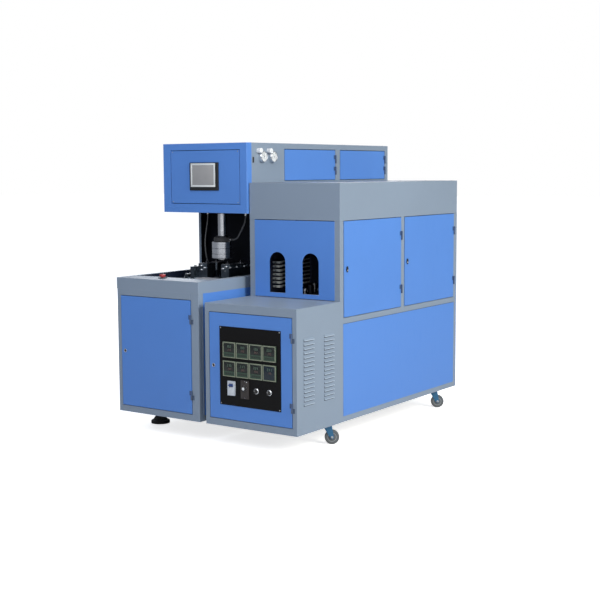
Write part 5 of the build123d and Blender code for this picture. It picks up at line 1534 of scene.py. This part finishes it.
@dataclass
class Oven(SubAssembly):
    """The right unit above its cabinet: panels, doors, chain, lamps and drive."""

    lamp_x: Pair = (0.132, 0.587)
    lamp_y: Pair = (-0.496, 0.704)
    lamp_z: float = 0.935
    lamp_pitch: float = 0.026
    lamp_rows: int = 7
    arches: tuple[Pair, ...] = ((0.1705, 0.2965), (0.4225, 0.5485))
    sill: float = 0.910
    flank: float = 0.702
    rail: Pair = (-0.598, 0.846)
    rail_top: float = 0.740
    locks_at: tuple[tuple[str, float], ...] = (("oven_door_front", -0.558), ("oven_door_rear", 0.180))
    lock_z: float = 1.074
    motor_y: float = 0.687
    motor_r: float = 0.058

    def paint(self) -> None:
        """Dresses the oven's nodes."""
        for name in ("oven_frame", "oven_header"):
            self.grey(name, name)
        self.blue("oven_front", "oven_front_panel")
        self.grey("oven_panels", "oven_panels", Zone((0.6994, -0.70, 0.10), (0.72, 1.0, 0.90), PALETTE.blue))
        self.doors(Way.X, 1.0, "oven_door_front", "oven_door_rear")
        self.dress(DARK_PAINT, "lamp_racks")
        self.dress(STEEL, "chain_loop", "oven_bed")
        self.dress(BLACKED, "front_sprocket", "rear_sprocket")
        self.dress(CAST, "drive_motor")
        self.dress(CERAMIC, "quartz_lamps")

    def rail_line(self) -> None:
        """The shadow gap over the lower side panel."""
        at = (self.flank, 0.0, self.rail_top)
        gap = ((-0.0004, self.rail[0], -SINK), (0.0004, self.rail[1], 0.0020), 0.0, at)
        self.blocks("rail_line", self.body, SHADE, [gap])

    def sills(self) -> None:
        """The bare folded edge at the foot of each arch."""
        low, high = self.box("oven_front_panel")
        self.blocks("arch_sills", self.body, ZINC, [
            ((left, low.y + 0.001, self.sill - 0.0004), (right, high.y + 0.006, self.sill + 0.0030), 0.0008)
            for left, right in self.arches
        ])

    def locks(self) -> None:
        """Flush oval locks of the two side doors, with their turned keys."""
        for door, y in self.locks_at:
            plate, key = Shape(), Shape()
            plate.oval((0.7050, y, self.lock_z), Way.X, (0.019, 0.0105), 0.0028, 0.0010)
            plate.piece(door + "_lock", door, SURROUND)
            spot = (0.7076, y, self.lock_z - 0.006)
            key.oval(spot, Way.X, (0.0062, 0.0062), 0.0016, 0.0005)
            key.block((0.0010, -0.0012, -0.005), (0.0030, 0.0012, 0.005), 0.0006, spot)
            key.piece(door + "_key", door, CHROME)

    def lamps(self) -> None:
        """Ends, terminals and clips of the quartz lamps."""
        caps, pins, clips = Shape(), Shape(), Shape()
        for x in self.lamp_x:
            for y, sign in zip(self.lamp_y, (-1.0, 1.0)):
                for row in range(self.lamp_rows):
                    z = self.lamp_z + row * self.lamp_pitch
                    face = y + sign * 0.015
                    at, pin = (x, face, z), (x, face + sign * 0.003, z)
                    caps.block((-0.026, -0.0005, -0.0062), (0.026, sign * 0.0030, 0.0062), 0.0012, at)
                    pins.rod(pin, Way.Y, sign * 0.010, 0.0032, 0.0006, 12)
                    pins.hexagon(pin, Way.Y, sign * 0.004, 0.010)
                    clips.torus((x, y - sign * 0.016, z), Way.Y, 0.0066, 0.0010, (20, 6))
        caps.piece("lamp_caps", self.body, CERAMIC)
        pins.piece("lamp_terminals", self.body, ZINC)
        clips.piece("lamp_clips", self.body, ZINC)

    def motor(self) -> None:
        """Cooling ribs, fan cover, terminal box and bolts of the chain's motor."""
        low, high = self.box("drive_motor")
        y, z, radius = self.motor_y, (low.z + high.z) / 2, self.motor_r
        ribs, bolts = Shape(), Shape()
        for side, rise in circle(20, radius):
            if abs(rise) <= 0.97 * radius:
                ribs.rod((low.x + 0.045, y + side, z + rise), Way.X, 0.145, 0.0030, 0.0008, 8)
        for reach, inward in ((0.004, 0.003), (0.012, 0.0), (0.020, 0.0), (0.028, 0.0)):
            ribs.torus((low.x + reach, y, z), Way.X, radius - inward, 0.0014, (40, 8))
        ribs.piece("motor_ribs", self.body, CAST)
        case = ((0.075, -0.032, -0.080), (0.150, 0.032, -0.054), 0.003, (low.x, y, z))
        self.blocks("motor_terminal_box", self.body, CAST, [case])
        for x in (low.x + 0.215, high.x - 0.015):
            for side in (-0.045, 0.045):
                bolts.hexagon((x, y + side, low.z - 0.005), Way.Z, 0.0052, 0.013)
        bolts.piece("motor_bolts", self.body, ZINC)

    def build(self) -> None:
        """Makes the oven's dressing."""
        self.paint()
        self.rail_line()
        self.locks()
        self.sills()
        self.lamps()
        self.motor()


@dataclass
class ControlCabinet(SubAssembly):
    """The control cabinet with its door and instrument plate."""

    door: str = "control_door"
    plate_y: float = DOOR_FACE
    meter_x: tuple[float, ...] = (0.2105, 0.3105, 0.4105, 0.5105)
    meter_z: Pair = (0.605, 0.490)
    meter_y: float = -1.107
    meter_half: float = 0.0475
    large_meter: int = 7
    breaker: Pair = (0.226, 0.372)
    speed: Pair = (0.325, 0.372)
    knob: Pair = (0.325, 0.380)
    selectors: tuple[Pair, ...] = ((0.411, 0.372), (0.507, 0.372))
    louvre_y: Pair = (-0.975, -0.760)
    louvre_z: float = 0.502
    louvre_rows: int = 16
    louvre_pitch: float = 0.0255
    louvre_out: float = 0.007

    def paint(self) -> None:
        """Dresses the cabinet's nodes."""
        self.grey("cabinet", "control_cabinet")
        self.doors(Way.Y, -1.0, "control_door")
        self.dress(PLATE_PAINT, "control_plate")
        self.dress(METER, "temp_meters")
        self.dress(TOGGLE, "breaker_toggle")
        self.dress(BLACK, "speed_knob", "selector_left", "selector_right")
        x, z = self.speed
        around = Zone((x - 0.032, -1.12, z - 0.0575), (x + 0.032, -1.0, z + 0.0575), rgb(52, 46, 45))
        self.dress(PowderPaint(
            "panel_devices", "grey_plastic", rgb(200, 207, 218), 0.40, zones=(around,), dust=0.02,
            peel=1800.0,
        ), "panel_devices")
        low, high = self.box("component_plate")
        front, middle = high.y - 0.0045, (low.z + high.z) / 2
        rows = (
            Zone((low.x, low.y, low.z), (high.x, front, middle), rgb(44, 46, 50)),
            Zone((low.x, low.y, middle), (high.x, front, high.z), rgb(196, 200, 204)),
        )
        self.dress(PowderPaint(
            "component_board", "zinc", rgb(168, 172, 176), 0.45, zones=rows, dust=0.04,
        ), "component_plate")

    def louvre_edges(self) -> None:
        """A painted highlight along the lip and a painted shadow under it, on every louvre on the side."""
        out = self.box("control_cabinet")[1].x
        rows = [self.louvre_z + (row - (self.louvre_rows - 1) / 2) * self.louvre_pitch - 0.007
                for row in range(self.louvre_rows)]
        spots = [(y, z) for y in self.louvre_y for z in rows]
        # pale strips that paint the light on each lip
        self.blocks("louvre_lips", self.body, LOUVRE_HIGHLIGHT, [
            ((-0.0009, -0.0515, -SINK), (0.0006, 0.0515, 0.0028), 0.0005, (out, *spot)) for spot in spots
        ])
        # dark strips that paint the shadow under each lip
        self.blocks("louvre_slots", self.body, SHADE, [
            ((-0.0004, -0.0505, -0.0062), (0.0005, 0.0505, -0.0004), 0.0002, (out - self.louvre_out, *spot))
            for spot in spots
        ])

    def components(self) -> None:
        """Terminal strips and their screws on the relays behind the door."""
        low, high = self.box("component_plate")
        columns = [low.x + (high.x - low.x) * step / 6 for step in range(1, 6)]
        rows = [low.z + (high.z - low.z) * step / 3 for step in range(1, 3)]
        strips = [(x, low.y, z + side) for x in columns for z in rows for side in (-0.036, 0.036)]
        self.blocks("component_strips", self.body, BLACK, [
            ((-0.026, -0.003, -0.006), (0.026, 0.0003, 0.006), 0.001, at) for at in strips
        ])
        spots = [(x + step, y - 0.0028, z) for x, y, z in strips for step in (-0.017, 0.0, 0.017)]
        self.screws("component_screws", self.body, spots, Way.Y, -0.0014, 0.0036)

    def digit(self, shape: Shape, x: float, z: float, size: float, value: int) -> None:
        """One seven-segment digit on a meter's window.

        Args:
            shape: the piece that it is added to.
            x: its left edge.
            z: its lower edge.
            size: its height.
            value: the number it shows, 0 to 9.
        """
        wide, thick, half = size * 0.5, size * 0.13, size / 2
        lit = ("abcdef", "bc", "abged", "abgcd", "fgbc", "afgcd", "afgedc", "abc", "abcdefg", "abcfgd")[value]
        spans = {
            "a": (0.0, size - thick, wide, size), "g": (0.0, (size - thick) / 2, wide, (size + thick) / 2),
            "d": (0.0, 0.0, wide, thick), "f": (0.0, half, thick, size), "e": (0.0, 0.0, thick, half),
            "b": (wide - thick, half, wide, size), "c": (wide - thick, 0.0, wide, half),
        }
        for name in lit:
            left, foot, right, top = spans[name]
            shape.block((left, -0.0011, foot), (right, -0.0004, top), 0.0, (x, self.meter_y, z))

    def meters(self) -> None:
        """Windows, digits and keys of the eight temperature meters."""
        rims, windows, blue_windows, upper, lower, keys = (Shape() for _ in range(6))
        half, pane = self.meter_half, 0.0395
        for number, (z, x) in enumerate((z, x) for z in self.meter_z for x in self.meter_x):
            at = (x, self.meter_y, z)
            large = number == self.large_meter
            rims.border(at, (-half, -half), (half, half), (0.006, 0.005), 0.0018, 0.0006)
            glass = blue_windows if large else windows
            glass.block((-pane, -0.0006, -0.040 if large else -0.015), (pane, SINK, pane), 0.0004, at)
            for place, (shown, target) in enumerate(zip(str(182 + 7 * number), str(190))):
                self.digit(upper, x - 0.016 + place * 0.0125, z + 0.013, 0.0155, int(shown))
                self.digit(lower, x - 0.012 + place * 0.0105, z - 0.0065, 0.0125, int(target))
            for key in range(0 if large else 4):
                left = key * 0.0165 - 0.0315
                keys.block((left, -0.0012, -0.0340), (left + 0.0145, SINK, -0.0225), 0.0007, at)
        for name, shape, finish in (
            ("rims", rims, METER_RIM), ("windows", windows, WINDOW),
            ("window_large", blue_windows, WINDOW_BLUE), ("values", upper, DIGIT),
            ("targets", lower, DIGIT_RED), ("keys", keys, METER_KEYS),
        ):
            shape.piece("meter_" + name, self.door, finish)

    def plate_screws(self) -> None:
        """Corner screws of the plate and of the speed controller."""
        spots = [(x, self.plate_y, z) for x in (0.141, 0.580) for z in (0.274, 0.736)]
        self.screws("plate_screws", self.door, spots, Way.Y, -0.0022, 0.0042)
        x, z = self.speed
        spots = [(x, self.plate_y - 0.005, z + side) for side in (-0.050, 0.050)]
        self.screws("speed_screws", self.door, spots, Way.Y, -0.0014, 0.0026)

    def breaker_front(self) -> None:
        """The breaker's stepped front, seams and marks of its two states."""
        x, z = self.breaker
        at = (x, self.plate_y - 0.012, z)
        seams = [((side - 0.0006, -0.0034, -0.037), (side + 0.0006, -0.0028, -0.004), 0.0, at)
                 for side in (-0.0055, 0.0055)]
        step = ((-0.022, -0.0030, -0.040), (0.022, SINK, -0.0005), 0.0012, at)
        self.blocks("breaker_step", self.door, PALE, [step, *seams])
        stroke = (-0.0009, 0.0315, 0.0009, 0.0375)
        marks = (stroke, (-0.019, 0.0325, -0.006, 0.0335), (0.006, 0.0325, 0.019, 0.0335))
        self.blocks("breaker_marks", self.door, BLACK, [
            ((left, -0.0005, foot), (right, SINK, top), 0.0, at) for left, foot, right, top in marks
        ])

    def speed_dial(self) -> None:
        """The speed controller's dark face, scale, lamp, knob cap and grip."""
        x, z = self.speed
        front = self.plate_y - 0.005
        face = ((-0.0275, -0.0006, -0.0525), (0.0275, SINK, 0.0525), 0.0004, (x, front, z))
        self.blocks("speed_face", self.door, SPEED_FACE, [face])
        x, z = self.knob
        marks, cap, grip = Shape(), Shape(), Shape()
        for tick in range(11):
            angle = math.radians(tick * 30.0 - 270.0)
            marks.spoke((x, front - 0.0006, z), Way.Y, angle, (0.0150, 0.0178), 0.0008, -0.0003)
        marks.rod((0.341, front - 0.0006, 0.420), Way.Y, -0.0022, 0.0030, 0.0006, 20)
        marks.piece("speed_scale", self.door, WHITE)
        front = self.box("speed_knob")[0].y
        outline = [(0.0, -0.0010), (0.0078, -0.0008), (0.0092, 0.0), (0.0092, 0.0003), (0.0, 0.0003)]
        cap.turned((x, front, z), Way.Y, outline, 32)
        cap.piece("speed_cap", "speed_knob", WHITE)
        for across, up in circle(20, 0.0128):
            grip.rod((x + across, front + 0.0025, z + up), Way.Y, 0.0115, 0.0009, 0.0, 8)
        grip.piece("speed_grip", "speed_knob", BLACK)

    def selector_trim(self) -> None:
        """Chrome rings round the selectors and their white pointers."""
        rings, inner = Shape(), 0.0122
        flat = [(inner, 0.0062), (0.0136, 0.0068), (0.0168, 0.0048), (0.0176, 0.0), (0.0176, -SINK)]
        outline = [(inner, -SINK), *flat, (inner, -SINK)]
        for x, z in self.selectors:
            rings.turned((x, self.plate_y, z), Way.Y, outline, out=-1.0)
        rings.piece("selector_rings", self.door, CHROME)
        for body, (x, z) in zip(("selector_left", "selector_right"), self.selectors):
            at = (x, self.box(body)[0].y, z)
            pointer = ((-0.0007, -0.0004, 0.0015), (0.0007, 0.0004, 0.0098), 0.0, at)
            self.blocks(body + "_pointer", body, WHITE, [pointer])

    def build(self) -> None:
        """Makes the cabinet's dressing."""
        self.paint()
        self.meters()
        self.plate_screws()
        self.breaker_front()
        self.speed_dial()
        self.selector_trim()
        self.louvre_edges()
        self.components()
        self.door_lock("control_lock", self.door, (0.084, self.plate_y - SINK, 0.501))


@dataclass
class Undercarriage(SubAssembly):
    """The two castors.

    Attributes:
        plate_at: centres of their plates, x and y.
        axle_off: how far the axle trails behind the kingpin.
        axle_z: the axle's height.
        heading: the angle, in degrees, that both forks are turned to.
    """

    plate_at: tuple[Pair, ...] = ((0.637, -0.681), (0.637, 0.674))
    axle_off: float = 0.028
    axle_z: float = 0.045
    heading: float = 35.0

    def hub(self, end: str, at: Pair) -> None:
        """Hub discs and axle nuts of one wheel, swung to the fork's heading round its kingpin.

        Args:
            end: front or rear.
            at: the kingpin's x and y.
        """
        swing = Matrix.Translation((*at, 0.0)) @ Matrix.Rotation(math.radians(self.heading), 4, "Z")
        discs, nuts, bore = Shape(), Shape(), 0.0062
        outline = [(0.0240, 0.0), (0.0270, 0.0012), (0.0282, 0.0008), (0.0282, -0.001), (bore, -0.001)]
        for side in (-1.0, 1.0):
            disc = (self.axle_off, side * 0.0129, self.axle_z)
            discs.turned(disc, Way.Y, [(bore, 0.0), *outline, (bore, 0.0)], 32, side * 0.6)
            nut = (self.axle_off, side * 0.0180, self.axle_z)
            nuts.hexagon(nut, Way.Y, side * 0.0045, 0.0150)
            nuts.rod(nut, Way.Y, side * 0.0065, 0.0040, 0.0006, 16)
        for shape, name, body, finish in (
            (discs, "castor_hub_", "castor_wheel_", HUB), (nuts, "castor_nuts_", "castor_fork_", ZINC),
        ):
            bmesh.ops.transform(shape.bm, matrix=swing, verts=shape.bm.verts[:])
            shape.piece(name + end, body + end, finish)

    def build(self) -> None:
        """Dresses forks and wheels, and adds the plates' bolts and the axles' nuts."""
        for end, at in zip(("front", "rear"), self.plate_at):
            self.dress(FORK, "castor_fork_" + end)
            self.dress(TYRE, "castor_wheel_" + end)
            self.hub(end, at)
            bolts = Shape()
            for x in (-0.026, 0.026):
                for y in (-0.026, 0.026):
                    bolts.hexagon((at[0] + x, at[1] + y, 0.1172), Way.Z, 0.005, 0.010)
            bolts.piece("castor_bolts_" + end, self.body, ZINC)


@dataclass
class RearServices(SubAssembly):
    """The air inlet and the cable gland at the rear."""

    gland: Point = (-0.223, 1.114, 0.400)

    def build(self) -> None:
        """Dresses the inlets and adds the gland's nut."""
        self.dress(BRASS, "rear_inlets")
        nut = Shape()
        outline = [(0.0165, -0.010), (0.0165, -0.002), (0.0128, 0.0), (0.0092, 0.0), (0.0092, -0.010)]
        nut.turned(self.gland, Way.Y, [(0.0092, -0.010), *outline], 32)
        nut.piece("gland_nut", self.body, RUBBER)


@dataclass(frozen=True)
class Sheet:
    """A screwed-on sheet of the cladding.

    Attributes:
        node: the node that it lies on.
        way: the direction that its face is square to.
        out: 1 if it faces that way, -1 if it faces against it.
        inset: how far its seam lies inside the node's outline.
        splits: how many parts it is divided into along its longer direction.
        vents: rows of louvres on it.
        span: heights that it is held between, where it covers only part of the node.
    """

    node: str
    way: Way
    out: float
    inset: float = 0.016
    splits: int = 1
    vents: int = 0
    span: Optional[Pair] = None

    def at(self, face: float, along: float, up: float) -> Point:
        """The point at a place on its face.

        Args:
            face: where the face lies on its way.
            along: the place in the first other direction.
            up: the place in the second.

        Returns:
            The point.
        """
        if self.way is Way.X:
            return (face, along, up)
        return (along, face, up) if self.way is Way.Y else (up, along, face)

    def ranges(self, low: Vector, high: Vector) -> tuple[float, Pair, Pair]:
        """Finds its face and the extent of its seam on a node's box.

        Args:
            low: the box's lowest corner.
            high: its highest corner.

        Returns:
            Where the face lies, and the seam's ranges along and up.
        """
        face = (high if self.out > 0 else low)[self.way.value]
        along, up = 0 if self.way is Way.Y else 1, 0 if self.way is Way.Z else 2
        whole = [(low[axis] + self.inset, high[axis] - self.inset) for axis in (along, up)]
        return face, whole[0], self.span or whole[1]


@dataclass
class Cladding(SubAssembly):
    """Seams, screws and louvres of the sheets on the sides that the photograph hides."""

    sheets: tuple[Sheet, ...] = (
        Sheet("head_body", Way.X, -1.0, splits=3),
        Sheet("head_body", Way.Z, 1.0, splits=3),
        Sheet("head_body", Way.Y, 1.0, vents=6),
        Sheet("tower_shell", Way.X, -1.0, splits=2),
        Sheet("tower_shell", Way.Y, 1.0),
        Sheet("oven_header", Way.Z, 1.0, splits=2),
        Sheet("oven_header", Way.Y, 1.0),
        Sheet("oven_panels", Way.Y, 1.0, vents=9, span=(0.74, 1.37)),
        Sheet("oven_panels", Way.Y, 1.0, span=(0.15, 0.72)),
        Sheet("clamp_panels", Way.Y, 1.0, vents=8),
        Sheet("clamp_panels", Way.X, -1.0, inset=0.050, splits=2),
    )
    pitch: float = 0.24
    edge: float = 0.012

    def seams(self, sheet: Sheet, face: float, stations: Sequence[float], up: Pair) -> list[tuple]:
        """Finds the boxes of a sheet's level and upright seams.

        Args:
            sheet: the sheet.
            face: where its face lies.
            stations: the places along it that have an upright seam.
            up: the seams' lowest and highest end.

        Returns:
            The lowest and highest corner of each box.
        """
        lines = [((stations[0], height), (stations[-1], height)) for height in up]
        lines += [((place, up[0]), (place, up[1])) for place in stations]
        half = [0.0008] * 3
        half[sheet.way.value] = 0.0
        boxes = []
        for start, end in lines:
            ends = (sheet.at(face - SINK * sheet.out, *start), sheet.at(face + 0.0003 * sheet.out, *end))
            low, high = ([pick(pair) for pair in zip(*ends)] for pick in (min, max))
            boxes.append(([a - h for a, h in zip(low, half)], [a + h for a, h in zip(high, half)]))
        return boxes

    def cover(self, number: int, sheet: Sheet) -> None:
        """Makes one sheet's seams, screws and louvres.

        Args:
            number: the sheet's number in the pieces' names.
            sheet: the sheet.
        """
        box = self.box(sheet.node)
        face, along, up = sheet.ranges(*box)
        step = (along[1] - along[0]) / sheet.splits
        stations = [along[0] + step * turn for turn in range(sheet.splits + 1)]
        self.blocks(f"seams_{number}", self.body, DARK_PAINT, self.seams(sheet, face, stations, up))
        tall = up[1] - up[0]
        last = max(2, round(tall / self.pitch) + 1) - 1
        heights = [up[0] + self.edge + (tall - 2 * self.edge) * row / last for row in range(last + 1)]
        spots = [
            sheet.at(face, place, height) for left, right in zip(stations, stations[1:])
            for place in (left + self.edge, right - self.edge) for height in heights
        ]
        self.screws(f"sheet_screws_{number}", self.body, spots, sheet.way, 0.0020 * sheet.out, 0.0042)
        if not sheet.vents:
            return
        louvres, middle = [], (along[0] + along[1]) / 2
        for row in range(sheet.vents):
            height = (up[0] + up[1]) / 2 + (row - (sheet.vents - 1) / 2) * 0.022
            for place in (middle - 0.075, middle + 0.075):
                low = sheet.at(face - SINK * sheet.out, place - 0.055, height)
                high = sheet.at(face + 0.0045 * sheet.out, place + 0.055, height + 0.009)
                louvres.append((low, high, 0.0036, (0.0, 0.0, 0.0), 4))
        self.blocks(f"sheet_vents_{number}", self.body, PALETTE.grey_on(f"vents_{number}", *box), louvres)

    def build(self) -> None:
        """Covers every sheet."""
        for number, sheet in enumerate(self.sheets, start=1):
            self.cover(number, sheet)


def main() -> None:
    """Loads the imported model, then dresses, lights and frames it."""
    logging.basicConfig(level=logging.INFO, format="%(message)s")
    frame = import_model()
    Studio().build()
    blow = BlowStation(frame)
    blow.hoses()
    others = (Head, Oven, ControlCabinet, Undercarriage, RearServices, Cladding)
    for part in (ClampUnit(frame), blow, *(kind(frame) for kind in others)):
        part.build()
        LOG.info("%s done", type(part).__name__)


if __name__ == "__main__":
    main()
